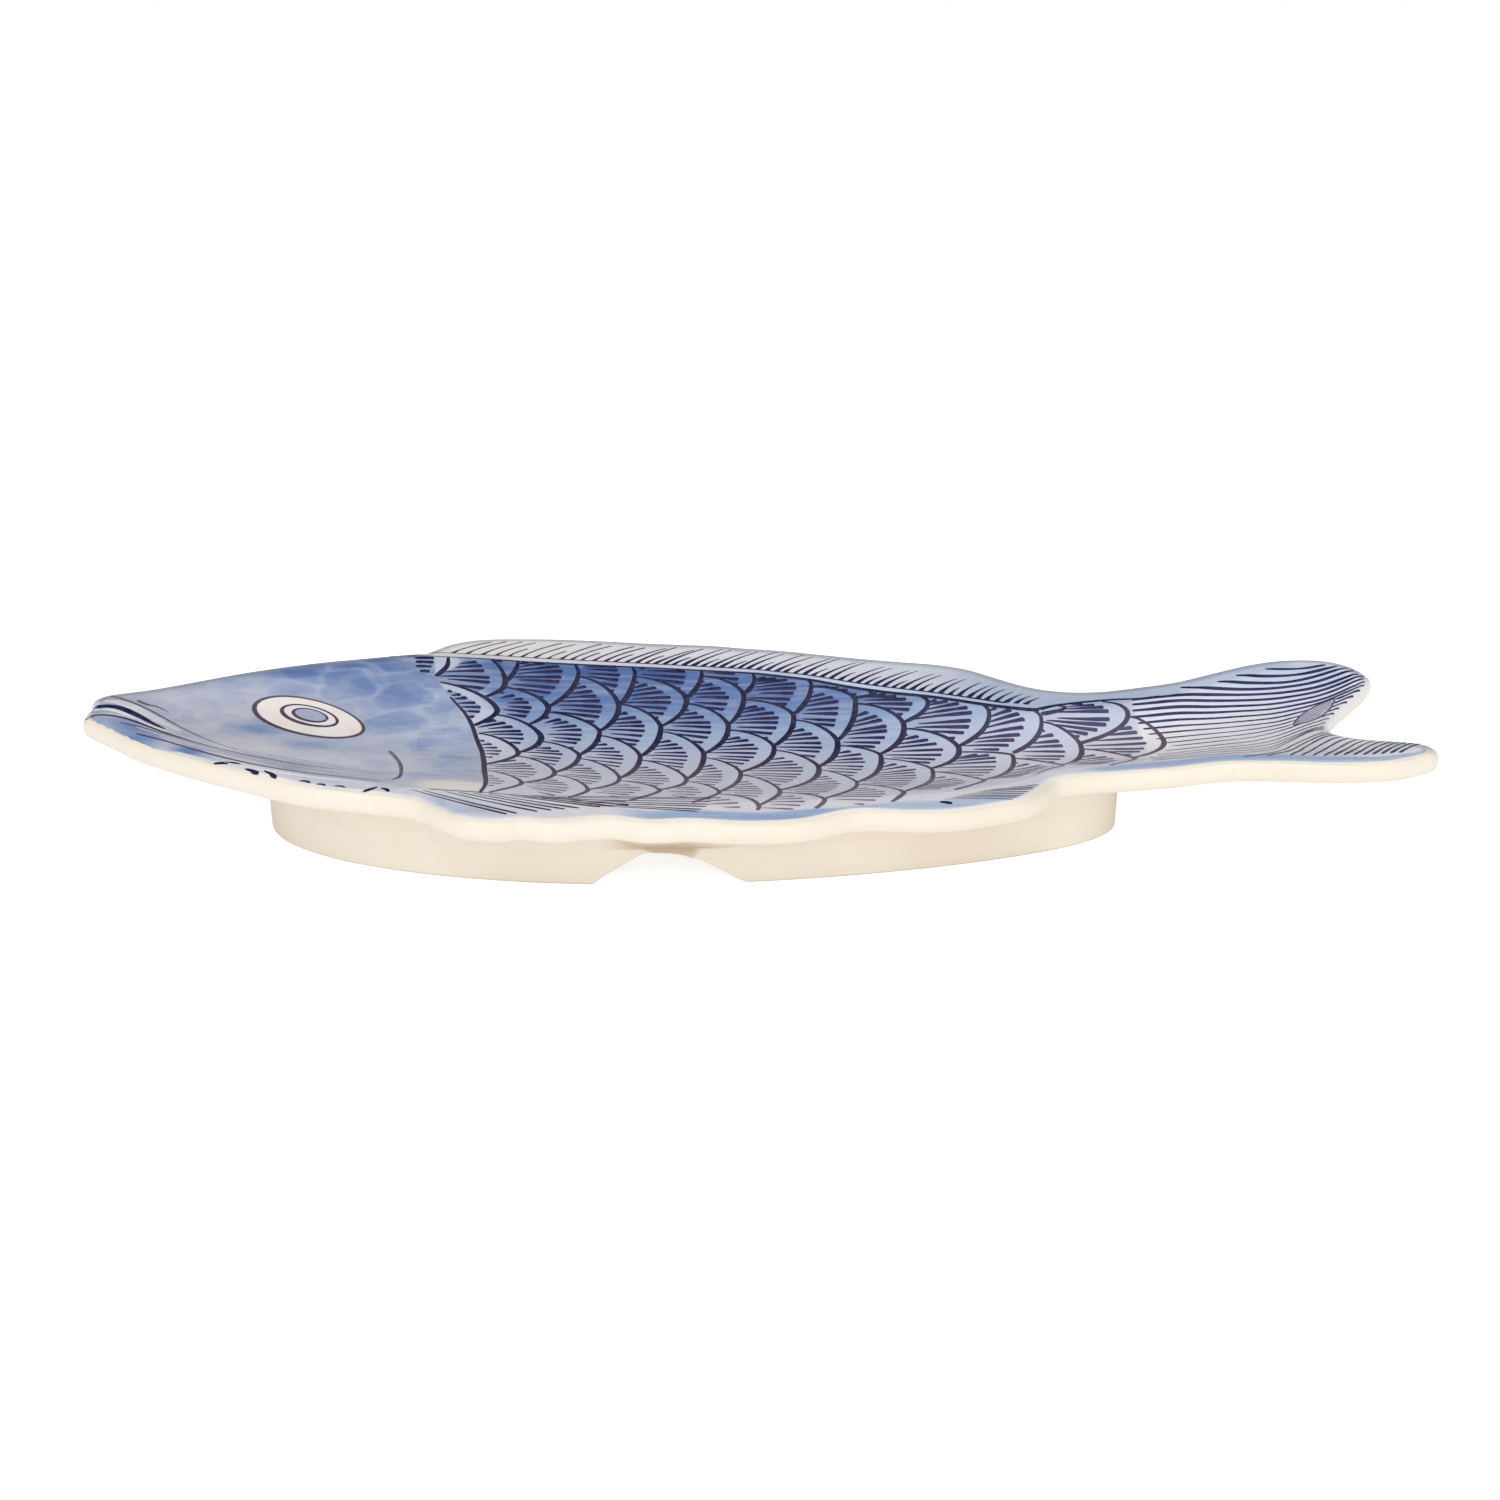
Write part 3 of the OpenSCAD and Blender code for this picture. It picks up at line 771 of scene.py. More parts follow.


# Wash: the soft colours under the strokes. Ramps give a colour at each place along x or y.
# Crescents and fans run from navy at the back to grey at the belly as in the print; their near-side ends are
# lightened further as painted light against the shade of the near slope
CRESCENT_COLOURS = [(-60, (234, 231, 238)), (-30, (226, 226, 237)), (-8, (198, 207, 229)),
                    (12, (160, 181, 216)), (28, (104, 134, 187)), (60, (80, 112, 168))]
FAN_COLOURS = [(-60, (230, 226, 231)), (-30, (226, 222, 230)), (-8, (206, 208, 227)), (12, (158, 171, 207)),
               (28, (88, 116, 176)), (60, (58, 88, 152))]
# The dorsal fin's pale wash is print, lifted further as painted light against the shade of its slope
DORSAL_COLOURS = [(-100, (255, 251, 245)), (-60, (255, 251, 248)), (-20, (252, 250, 253)),
                  (20, (248, 248, 254)), (50, (234, 238, 250)), (75, (192, 207, 230)), (100, (184, 201, 228)),
                  (130, (196, 212, 237)), (178, (194, 211, 241))]
TAIL_COLOURS = [(-40, (226, 227, 236)), (-30, (245, 241, 242)), (-10, (250, 246, 248)), (2, (247, 244, 249)),
                (12, (234, 236, 249)), (24, (214, 225, 248)), (40, (200, 217, 247))]
BAND_COLOURS = [(-100, (236, 233, 238)), (-40, (234, 235, 243)), (10, (216, 226, 246)), (70, (200, 216, 244))]
HEAD_GROUND = (187.0, 191, 209)
# Soft patches on the head: middle, half size, colour and strength
HEAD_PATCHES = [
    ((-160, 13), (16, 9), (202, 204, 216), 0.9),
    ((-136, 26), (15, 12), (164, 180, 211), 0.8),
    ((-106, 37), (27, 18), (100, 129, 184), 1.0),
    ((-150, -8), (13, 9), (212, 210, 221), 0.8),
    ((-86, 2), (15, 20), (192, 207, 232), 0.8),
    # This pale patch is partly print and partly painted light that lifts the shade of the near slope
    ((-120, -29), (32, 14), (238, 235, 244), 1.0),
    ((-88, -36), (10, 13), (224, 226, 238), 0.8),
]
# Dabs of blue laid on it, each with a pale edge: middle, half size and colour
HEAD_DABS = [
    ((-151, 8), (8, 5), (184, 194, 217)),
    ((-139, 22), (8, 6), (158, 176, 210)),
    ((-130, -6), (7, 5), (168, 184, 213)),
    ((-112, -13.5), (12, 5.5), (172, 188, 217)),
    ((-103, 44), (9, 5.5), (92, 122, 180)),
    ((-124, 32), (7, 8.5), (112, 140, 195)),
    ((-112, 27), (8, 9.5), (104, 133, 187)),
    ((-84, 23), (6, 8), (140, 163, 206)),
    ((-96, 25), (8.5, 8.5), (116, 144, 197)),
    ((-81, 0), (7, 8), (172, 190, 222)),
    ((-96, 8), (9.5, 8.5), (142, 165, 208)),
    ((-83, -42), (6, 6), (190, 202, 228)),
    ((-74, -30), (6.5, 8.5), (176, 194, 226)),
    ((-77, -18), (5.5, 5), (160, 180, 218)),
]
DAB_EDGE = (198, 208, 230)
# Soft spots: middle and half size
GILL_CREAM = ((-72, -50), (11, 6))
BELLY_CORNER = ((-66, -67), (9, 4))
CHIN_SPOT = ((-141.8, -35.4), (3.2, 3.4))
# Colours laid in single places
GILL_PALE = (252, 246, 238)
CREAM = (251, 241, 227)
CREAM_SHADE = (249, 238, 221)
# Underside cream, a touch darker than the top's cream: painted shade under the dish and on the foot
SHADED_UNDER_CREAM = (248, 239, 225)
SHADED_UNDER_CREAM_DEEP = (245, 234, 217)
SNOUT_PALE = (228, 228, 235)
MOUTH_DARK = (14, 18, 56)
GILL_BLUSH = (226, 228, 238)
BELLY_GROUND = (236.0, 234, 240)
BELLY_CORNER_BLUE = (186, 196, 222)
BELLY_BLUE = (160, 184, 222)
BELLY_PALE_BLUE = (182, 201, 228)
BELLY_END_GREY = (226, 226, 234)
TAIL_EDGE_PALE = (240, 241, 249)
HATCH_GROUND = (206, 202, 224)
FIN_EDGE_GREY = (214, 218, 228)
BACK_EDGE_GREY = (214, 214, 220)
THROAT_GREY = (226, 225, 232)
CHIN_BLUE = (106, 143, 198)
CHIN_SPOT_BLUE = (118, 150, 200)
TAIL_BAND_BLUE = (172, 188, 216)
# Widths of the blue band under the tail and of the cream edge on the belly side, by x
TAIL_BAND_W = [(84, 4.5), (105, 5.4), (150, 5.2), (168, 2.8), (178, 1.0)]
CREAM_W = [(-178, -1), (-150, -0.4), (-144, 1.6), (-135, 2.2), (-88, 2.2), (-70, 0.8), (-55, 1.4), (-45, 2.6),
           (25, 1.8), (38, 1.4), (80, 1.2), (120, 1.0), (178, 0.8)]


def ramp_colour(stops, at):
    xs, colours = zip(*stops)
    return at_run(np.array(colours), xs, at)


def lay(colours, amount, colour):
    """Lays a colour over an array of them."""
    return mix(colours, np.asarray(colour, dtype=float), clamp(amount)[:, None])


def blob(xy, middle, half):
    return np.exp(-(((xy - middle) / half) ** 2).sum(axis=1))


def scale_wash(xy):
    """Pale crescents and darker fans of the scales."""
    x, y = xy.T
    depth = y - 0.3 * np.maximum(0, x - 30)
    fan = np.zeros(len(xy))
    for row, col in SCALES.tips:
        left = SCALES.left(row, col)
        field = np.vstack([SCALES.fan_arc(row, col), left + (0, -3), left + (-1, 4)])
        fan = np.maximum(fan, inside(xy, SCALES.region(row, col)) & inside(xy, field))
    colours = mix(ramp_colour(CRESCENT_COLOURS, depth), ramp_colour(FAN_COLOURS, depth), fan[:, None])
    by_gill = ease_over(x - gill_x(y), (17, 5)) * ease_over(y, (-30, -10))
    return lay(colours, 0.8 * by_gill * (1 - 0.5 * fan), GILL_BLUSH)


def head_wash(xy, cream):
    colours = np.tile(HEAD_GROUND, (len(xy), 1))
    for middle, half, colour, strength in HEAD_PATCHES:
        colours = lay(colours, strength * blob(xy, middle, half), colour)
    waved = xy + 1.3 * np.sin(0.42 * xy[:, ::-1])
    for middle, half, colour in HEAD_DABS:
        u = (waved - middle) / half
        inner = (1 - np.linalg.norm(u, axis=1)) * min(half)
        colours = lay(colours, 0.35 * np.exp(-(inner / 1.1) ** 2), DAB_EDGE)
        strength = soft_step(inner - 0.7, 1.4) * mix(0.35, 0.95, ease(0.5 + 0.6 * u[:, 1]))
        colours = lay(colours, strength, colour)
    return lay(colours, cream, GILL_PALE)


def belly_wash(xy, rim):
    x = xy[:, 0]
    colours = np.tile(BELLY_GROUND, (len(xy), 1))
    colours = lay(colours, 0.8 * blob(xy, *BELLY_CORNER), BELLY_CORNER_BLUE)
    near = soft_step(7.2 - rim, 2.5) * soft_step(rim - 1.6, 1.6)
    colours = lay(colours, near * window(x, -34, -20, 20, 30), BELLY_BLUE)
    colours = lay(colours, 0.9 * near * window(x, 18, 28, 60, 74), BELLY_PALE_BLUE)
    return lay(colours, ease_over(x, (66, 74)), BELLY_END_GREY)


def wash_colours(xy, rim):
    """Colour and cloudiness of the wash at plan points, each with its distance to the rim."""
    x, y = xy.T
    colours = scale_wash(xy)
    # tail
    colours = lay(colours, soft_step(x - 108), ramp_colour(TAIL_COLOURS, y))
    # Pale edge at the tail's end: partly the print's pale edge and partly a painted highlight on the lip
    colours = lay(colours, ease_over(x, (152, 160)) * soft_step(5 - rim, 4), TAIL_EDGE_PALE)
    colours = lay(colours, 0.8 * soft_step(lens_depth(xy), 0.8) * (rim > 1.3), HATCH_GROUND)
    # head
    head = soft_step(gill_x(y) - x)
    cream = clamp(1.5 * blob(xy, *GILL_CREAM))
    colours = lay(colours, head, head_wash(xy, cream))
    cloud = mix(0.25, 1 - 0.8 * cream, head)
    # dorsal fin and the plain edge over the tail's root
    top_line = np.where(x < 82, line_y(BODY_LINE, x), line_y(TAIL_TOP_LINE, x))
    fin = soft_step(y - top_line) * (x > -96) * (x < 122)
    dorsal = ramp_colour(DORSAL_COLOURS, x)
    dorsal = lay(dorsal, 0.6 * soft_step(3.5 - rim, 3) * ease_over(x, (-55, -25)), FIN_EDGE_GREY)
    colours = lay(colours, fin, dorsal)
    cloud = mix(cloud, 0.35, fin)
    # belly fins, throat and chin
    belly = soft_step(line_y(BELLY_LINE, x) - y) * ease_over(x, (-92, -82)) * (x < 104)
    colours = lay(colours, belly, belly_wash(xy, rim))
    edge = soft_step(7.5 - rim, 3)
    colours = lay(colours, edge * (y < 0) * window(x, -140, -130, -92, -84), THROAT_GREY)
    chin = mix(0.95, 0.55, ease_over(x, (-160, -170))) * ease_over(y, (-7, -10)) * ease_over(x, (-148, -155))
    colours = lay(colours, edge * chin, CHIN_BLUE)
    colours = lay(colours, 1.4 * blob(xy, *CHIN_SPOT), CHIN_SPOT_BLUE)
    # rim
    near_side = np.where(x > 100, soft_step(-25 - y, 6), y < 0)
    tail_band = soft_step(line_y(TAIL_BAND_W, x) - rim, 1.6) * near_side * ease_over(x, (84, 94))
    colours = lay(colours, tail_band, TAIL_BAND_BLUE)
    colours = lay(colours, soft_step(line_y(CREAM_W, x) - rim, 0.9) * near_side, CREAM)
    return lay(colours, 0.8 * soft_step(0.7 - rim, 0.8) * (y > 0), BACK_EDGE_GREY), cloud


def build_film(name, node, places, cols, material):
    """Printed film over a part of the face, with a short skirt into the dish all round."""
    s, q = np.meshgrid(places, cols, indexing="ij")
    points = face_xyz(s, q).reshape(-1, 3)
    rim = rim_distance(points[:, :2])
    points[:, 2] += (PRINT_T - INK_LIFT) * ease(rim / FILM_FEATHER)
    index = np.arange(s.size).reshape(s.shape)
    loop = np.concatenate([index[:-1, 0], index[-1, :-1], index[:0:-1, -1], index[0, :0:-1]])
    colours, cloud = wash_colours(points[:, :2], rim)
    normals = np.vstack([turned_normals(s, q, points[:, :2]), np.zeros((2 * len(loop), 3))])
    faces = grid_faces(*s.shape) + ring_faces(2, len(loop), len(points))
    points = np.vstack([points, points[loop], points[loop] - (0, 0, PRINT_T)])
    again = np.concatenate([index.ravel(), loop, loop])
    piece = make_piece(name, points, faces, material, {"wash": colours[again], "cloud": cloud[again]},
                       normals)
    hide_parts(node)


# Ink: the brush strokes, as thin raised ribbons on the film. Tones run from 0, grey, to 1, navy.
INK_COLOURS = [(0.0, (160, 152, 158)), (0.2, (137, 129, 142)), (0.4, (102, 95, 122)), (0.6, (58, 58, 102)),
               (0.8, (24, 30, 88)), (1.0, (8, 12, 70))]
LINE_COLOURS = [(0.0, (150, 142, 146)), (0.2, (128, 118, 124)), (0.4, (98, 86, 100)), (0.6, (66, 54, 78)),
                (0.8, (34, 28, 68)), (1.0, (10, 12, 58))]
DEPTH_TONES = [(-60, 0.26), (-35, 0.36), (-18, 0.52), (0, 0.8), (14, 0.95), (28, 1.0)]
LEAST_STEP = 0.04
HAND_WOBBLE = 0.07
# Across a stroke: sides, as shares of its half width, and lifts, as shares of the ink's height
STROKE_SECTION = ((1, 0.4), (0, 1.0), (-1, 0.4))


def ink_tone(xy):
    """Tone of the ink by place: navy at the back, grey at the belly and towards the tail."""
    x, y = xy.T
    return line_y(DEPTH_TONES, y - 0.35 * np.maximum(0, x - 40))


def rounded(distance, length):
    """Share of a stroke's width at a distance from its end, which is round over a length."""
    return np.sqrt(np.clip(1 - (1 - clamp(distance / max(length, 1e-6))) ** 2, 0.02, 1))


class Ink:
    """Collects strokes and makes one mesh of them."""

    def __init__(self, seed):
        self.rng = np.random.default_rng(seed)
        self.strokes = []

    def stroke(self, line, width, tone=None, line_ink=False, blunt=(0.3, 0.3), swell=((0, 1), (1, 1)),
               colours=None):
        """Stroke along a sampled line. tone is one tone or one for each end, and by place where it isn't
        given. blunt is the length of the round at each end. swell is the width along the stroke, as shares.
        colours gives the colour by x, in place of ink."""
        line = np.asarray(line, dtype=float)
        if len(line) < 3:
            return
        run = run_of(line)
        end = run[-1]
        a, b = (min(v, end * 0.45) for v in blunt)
        turn = 1 - np.cos(np.linspace(0, math.pi / 2, 4))
        body = np.linspace(a, end - b, max(4, int(end / STROKE_STEP) + 1))
        at = np.unique(np.concatenate([body, a * turn, end - b * turn]))
        at = at[np.diff(at, prepend=-1) > LEAST_STEP]
        pts = at_run(line, run, at)
        share = at / end
        w = width * line_y(swell, share) * rounded(at, a) * rounded(end - at, b)
        w = w * (1 + HAND_WOBBLE * np.interp(share * 4, np.arange(6), self.rng.normal(size=6)))
        if colours:
            laid = ramp_colour(colours, pts[:, 0])
        else:
            tones = ink_tone(pts) if tone is None else mix(*np.broadcast_to(tone, 2), share)
            laid = ramp_colour(LINE_COLOURS if line_ink else INK_COLOURS, tones)
        self.strokes.append((pts, w, laid))

    def clipped(self, line, zones, hole=None, **kw):
        """Stroke along the parts of a line inside all the zones and outside the hole."""
        keep = np.all([inside(line, zone) for zone in zones], axis=0)
        if hole is not None:
            keep &= ~inside(line, hole)
        ends = np.flatnonzero(np.diff(keep.astype(int), prepend=0, append=0))
        for a, b in zip(ends[::2], ends[1::2]):
            if b - a > 3:
                self.stroke(line[a:b], **kw)

    def build(self, name, material):
        plan = np.vstack([pts for pts, _, _ in self.strokes])
        colours = np.vstack([laid for _, _, laid in self.strokes])
        half = []
        faces = []
        first = 0
        for pts, w, _ in self.strokes:
            d = np.gradient(pts, axis=0)
            d /= np.maximum(np.linalg.norm(d, axis=1), 1e-9)[:, None]
            half.append(d[:, ::-1] * (-1, 1) * w[:, None] / 2)
            k = first + 3 * np.arange(len(pts) - 1)
            for a in (k, k + 1):
                faces += np.stack([a, a + 3, a + 4, a + 1], axis=1).tolist()
            first += 3 * len(pts)
        half = np.vstack(half)
        rows = [lay_on_face(plan + side * half, lift) for side, lift in STROKE_SECTION]
        make_piece(name, np.stack(rows, axis=1).reshape(-1, 3), faces, material,
                   {"ink": np.repeat(colours, 3, axis=0)})


# How far from their common root a scale's strokes begin: at least, at random, and more on every second one
STROKE_START = 6.6
STROKE_SPREAD = 2.2
STROKE_STAGGER = 1.6


def draw_scales(ink):
    rng = ink.rng
    for row, col in sorted(SCALES.tips):
        region, left = SCALES.region(row, col), SCALES.left(row, col)
        own, arc = SCALES.outline(row, col), SCALES.fan_arc(row, col)
        ink.clipped(spline(own, 0.5), [SCALES.zone], width=mix(1.1, 1.5, ease((own[0, 1] + 30) / 50)),
                    line_ink=True, blunt=(0.2, 0.2),
                    swell=[(0, 0.6), (0.25, 0.8), (0.6, 1.1), (0.85, 1.2), (1, 0.9)])
        run = run_of(arc)
        count = 0 if (row, col) in BARE_SCALES else int(run[-1] / STROKE_PITCH)
        for k in range(count):
            at = (k + 0.6 + rng.uniform(-0.12, 0.12)) * run[-1] / count
            end = at_run(arc, run, at) + (rng.uniform(-0.35, 0.35), 0)
            root = left + (-6.0, 0.6 + 0.3 * (end[1] - left[1]))
            start = STROKE_START + rng.uniform(0, STROKE_SPREAD) + STROKE_STAGGER * (k % 2)
            t = np.linspace(min(0.85, start / np.linalg.norm(end - root)), 1, 50)
            line = mix(root, end, t[:, None])
            line[:, 1] += 0.7 * np.sin(math.pi * t) * (0.6 + 0.4 * np.sign(end[1] - left[1]))
            ink.clipped(line, [region, SCALES.zone], width=mix(0.9, 1.8, ease((end[1] + 46) / 62)),
                        blunt=(1.2, 0.35), swell=[(0, 0.3), (0.35, 0.65), (0.75, 1.0), (1, 1.05)])


def draw_body_lines(ink):
    body = spline(BODY_LINE)
    ink.stroke(body + (0, -0.4), 1.5, tone=(0.8, 1.0), line_ink=True, blunt=(2, 0.5),
               swell=[(0, 0.15), (0.12, 0.4), (0.2, 0.6), (0.5, 0.85), (0.7, 1.1), (1, 1.3)])
    band = body[(body[:, 0] > -100) & (body[:, 0] < 74)]
    ink.stroke(band + (0, BAND_W / 2), 2.2, blunt=(3, 8), colours=BAND_COLOURS)
    ink.stroke(band + (0, BAND_W), 0.95, tone=(0.4, 1.0), line_ink=True, blunt=(2, 2),
               swell=[(0, 0.5), (0.3, 0.8), (0.8, 1.0), (1, 1.3)])
    ink.stroke(spline(TAIL_TOP_LINE), 1.6, tone=0.98, blunt=(0.4, 0.8),
               swell=[(0, 1.1), (0.6, 0.9), (1, 0.6)])
    ink.stroke(spline(GILL_LINE[2:]), 1.2, tone=(0.75, 0.45), line_ink=True, blunt=(0.5, 0.5),
               swell=[(0, 0.5), (0.2, 1.0), (0.7, 1.1), (1, 0.8)])
    belly = spline(BELLY_LINE[1:])
    ink.stroke(belly[belly[:, 0] < -28], 0.5, tone=0.3, line_ink=True, blunt=(1, 1))


# Height, lean and spacing of the dorsal rays, by x
RAY_HEIGHTS = [(-86, 14), (-70, 16.5), (-50, 17), (-20, 16.5), (10, 15.5), (40, 14.5), (60, 13), (72, 9),
               (80, 5)]
RAY_LEANS = [(-86, 10.5), (-40, 11.5), (40, 11.0), (80, 4.5)]
RAY_STEPS = [(-86, 4.4), (-60, 3.6), (-30, 2.7), (80, 2.5)]


def draw_dorsal_rays(ink):
    """Rays of the dorsal fin: long and thin at the head end, dark and close at their roots further back."""
    rng = ink.rng
    t = np.linspace(0, 1, 30)
    x, k = RAY_STEPS[0][0], 0
    while x < RAY_STEPS[-1][0]:
        height = line_y(RAY_HEIGHTS, x) * rng.uniform(0.88, 1.02)
        lean = line_y(RAY_LEANS, x)
        if k % 3 == 1 and -70 < x < 60:
            height, lean = 0.5 * height, 0.45 * lean
        root_y = line_y(BODY_LINE, x) + BAND_W
        line = np.stack([x + lean * t ** 1.1, root_y + height * (1.3 * t - 0.3 * t * t)], axis=1)
        dark = ease((x + 62) / 50)
        tones = mix(0.5, 1.0, dark), mix(0.4, 0.2, ease((x + 30) / 60))
        ink.stroke(line, mix(0.65, 1.4, dark), tone=tones, blunt=(0.3, 0.5),
                   swell=[(0, 1.15), (0.15, 1.0), (0.45, mix(0.95, 0.62, dark)), (0.8, mix(1.0, 0.45, dark)),
                          (1, mix(1.1, 0.3, dark))])
        if dark < 0.8:
            ink.stroke(line[:7] + (0.2, 0), 1.2, tone=(0.7, 0.5), blunt=(0.2, 0.8),
                       swell=[(0, 1.2), (1, 0.3)])
        x += line_y(RAY_STEPS, x) * rng.uniform(0.9, 1.1)
        k += 1


# Guide lines of the tail, from its root to the trailing edge, from the dorsal tip to the belly tip
TAIL_GUIDES = [
    [(148, 32.5), (153, 32), (160, 33), (166.5, 36)],
    [(139, 28.8), (146, 27.5), (155, 28.5), (163, 31.2), (170, 35)],
    [(133, 25), (142, 23.8), (152, 24.5), (162, 28), (172.5, 33.5)],
    [(122.5, 24), (130, 21.3), (142, 20.6), (153, 22.3), (163, 25.5), (175, 32)],
    [(108, 18), (118, 18.2), (130, 18), (142, 18), (153, 19.6), (163, 22.5), (176, 29)],
    [(107, 9.5), (120, 9.8), (133, 9.6), (144, 9.9), (153, 12), (162, 15), (173, 20.8)],
    [(110, 1), (122, 1), (134, 0.6), (144, 1.5), (151, 4.6), (157, 8), (167, 13)],
    [(115, -8), (125, -8.6), (136, -8.6), (144, -5.6), (150, -1.4), (154, 1.6), (161, 5.2)],
    [(107, -19), (122, -19.5), (133, -19.5), (139, -17.5), (144, -13.5), (149, -8.8), (153.5, -4.6),
     (158, -1.5)],
    [(106, -28), (120, -29.5), (131, -30), (137, -26.5), (141, -20.5), (146, -14.3), (151, -8.6),
     (157.5, -3.4)],
    [(128, -34.5), (135, -33.5), (140, -27.5), (144, -21), (149, -15), (154, -9.8), (159.5, -6.4)],
    [(139.5, -37), (143, -31.5), (146, -25.5), (150.5, -18.5), (155, -13.2), (161, -9.6)],
    [(147.5, -39), (151, -34), (154, -29), (157, -24), (160.5, -19.5), (164, -15.5)],
    [(157.5, -39), (160.5, -34.5), (163.5, -30), (167, -25.8), (170, -22.5)],
    [(167, -37.5), (169, -35), (171, -32.7), (173, -30.6)],
]
# The first guides end inside the rim and the others run over it
TAIL_WHOLE_N = 4
TAIL_OVERRUN = 4
HATCH_PLACES = range(2, 22)
# Lines drawn between one guide and the next
TAIL_BETWEEN = (0, 0, 0, 0, 2, 2, 2, 2, 1, 0, 1, 2, 3, 3, 0)
# Tones at the root and at the end of the tail's lines, and their widths, by guide
TAIL_TONES = [(0, 0.98), (4, 1.0), (5, 0.9), (6, 0.6), (7.5, 0.35), (9.5, 0.3), (11, 0.5), (14, 0.55)]
TAIL_END_TONES = [(0, 0.9), (4, 0.8), (6, 0.65), (8, 0.5), (10, 0.65), (14, 0.65)]
TAIL_WIDTHS = [(0, 1.6), (4, 1.5), (5, 1.15), (6.5, 0.7), (9, 0.5), (11, 0.8), (14, 0.85)]


def draw_tail(ink):
    outer = EDGE_LINE + 0.8 * LIP_INK * EDGE_OUT
    upper, lower = lens_side(1), lens_side(-1)
    lens = np.vstack([upper, lower[::-1]])
    guides = []
    for guide in TAIL_GUIDES:
        line = spline(guide, 1.0)
        if len(guides) >= TAIL_WHOLE_N:
            line = np.vstack([line, line[-1] + TAIL_OVERRUN * (line[-1] - line[-2])])
        guides.append(even_count(line, 60))
    for n, (line, after, between) in enumerate(zip(guides, guides[1:] + guides[-1:], TAIL_BETWEEN)):
        for k in range(between + 1):
            place = n + k / (between + 1)
            own = even_line(mix(line, after, place - n), 0.5)
            ink.clipped(own[:-ink.rng.integers(1, 3)], [outer], lens, width=line_y(TAIL_WIDTHS, place),
                        tone=(line_y(TAIL_TONES, place), line_y(TAIL_END_TONES, place)), blunt=(0.8, 0.6),
                        swell=[(0, 0.8), (0.12, 1.1), (0.5, 0.8), (0.9, 0.9), (1, 0.5)])
    for k in HATCH_PLACES:
        hatch = [upper[k + 1], mix(upper[k], lower[k], 0.5) + (0.15, 0), lower[k - 1]]
        ink.stroke(spline(hatch), 0.32, tone=0.3, blunt=(0.2, 0.2))
    for side in (upper, lower):
        ink.stroke(spline(side[::3]), 0.5, tone=0.45)


EYE_AT = (-118.9, 5.5)
EYE_TILT = -23.7
# Rings of the eye: half sizes, place of the middle from the eye's, width and tone of the line, fill and lift
EYE_RINGS = [((16.1, 10.4), (0, 0), 1.3, 0.42, (253, 246, 240), 0.3),
             ((8.2, 5.2), (-0.1, 1.7), 1.2, 0.5, (248, 243, 242), 0.45),
             ((4.9, 3.3), (0, 2.1), 1.2, 0.5, (176, 186, 212), 0.6)]


def eye_ring(half, off, grow=0.0):
    turn = np.linspace(0, 2 * math.pi, EYE_STEPS + 1)
    return turned((half[0] + grow) * np.cos(turn), (half[1] + grow) * np.sin(turn), EYE_TILT) + EYE_AT + off


# Lines of the mouth and jaw: points, width and tones at both ends
MOUTH_LINES = [
    ([(-177.5, -0.4), (-175.5, 0.4), (-172.8, 0.7), (-170, 0.3), (-166.8, -1.6), (-162, -6), (-157, -11.3),
      (-152.5, -15.6)], 2.5, (1.0, 0.95)),
    ([(-173.5, 9.2), (-168, 5.4), (-162, 0.6), (-156, -5.2), (-150, -11.6), (-144, -17.8), (-138, -23.6),
      (-131, -28.8)], 0.7, (0.35, 0.2)),
    ([(-175.5, -9.8), (-173.8, -7.2), (-170, -6.9), (-165, -8.8), (-158, -13.8), (-150, -20.5), (-140, -27.5),
      (-130, -32.5), (-118, -37), (-104, -40)], 0.95, (0.75, 0.3)),
    ([(-165, -12.8), (-158, -16.5), (-152, -20.5), (-146, -25), (-136, -31)], 0.7, (0.45, 0.15)),
    ([(-158.5, -21.8), (-150, -27), (-140, -34), (-130, -40), (-120, -44.5), (-110, -47.4), (-100, -49),
      (-90, -51)], 0.8, (0.5, 0.35)),
    ([(-165.3, 5.6), (-162, 3), (-159.5, 2.2), (-157, 0.4), (-155, -1.8)], 0.8, (0.4, 0.2)),
]
# Pale strokes beside them: points, width and colour
MOUTH_LIGHTS = [
    ([(-174.5, 4.8), (-170, 3.8), (-165.6, 0.8), (-160, -4.4), (-154, -10.6), (-148, -16.4)], 3.2,
     (230, 230, 237)),
    ([(-175, -2.8), (-171.5, -1.9), (-167.4, -4), (-162, -8.8), (-157, -13.7), (-151, -18.8)], 1.6,
     (251, 249, 249)),
    ([(-172, -5), (-166, -6.6), (-160, -10.6), (-153, -16.2), (-146, -21.4)], 1.2, (214, 216, 228)),
    ([(-160, -16), (-152, -21.4), (-144, -26.6), (-134, -32), (-122, -37)], 1.1, (214, 214, 226)),
    ([(-150, -24.5), (-142, -30), (-132, -35.6), (-120, -41), (-108, -45)], 1.0, (206, 206, 220)),
    ([(-131, -42.6), (-122, -46.6), (-112, -49.6), (-100, -52), (-92, -53)], 1.7, (244, 242, 244)),
]
# The jaw's fine lines run between two guides
JAW_GUIDES = [
    [(-147, -18), (-138, -24), (-126, -27.5), (-112, -31), (-98, -35), (-84, -42)],
    [(-146, -28.5), (-136, -35), (-124, -40.5), (-110, -44.5), (-98, -47), (-84, -50)],
]
JAW_LINE_N = 5
JAW_COLOURS = [(-150, (172, 172, 192)), (-95, (188, 190, 208))]
SHOULDER_STROKES = [((-96, 49), (-90.4, 50)), ((-95.4, 46.4), (-90.2, 47)), ((-95, 43.6), (-90.4, 44.2)),
                    ((-93.4, 40.8), (-90.6, 41.2))]
CHEEK_LINE = [(-94, -14), (-91.5, -20), (-89, -28), (-87.2, -38), (-86.7, -45), (-88, -48.6)]
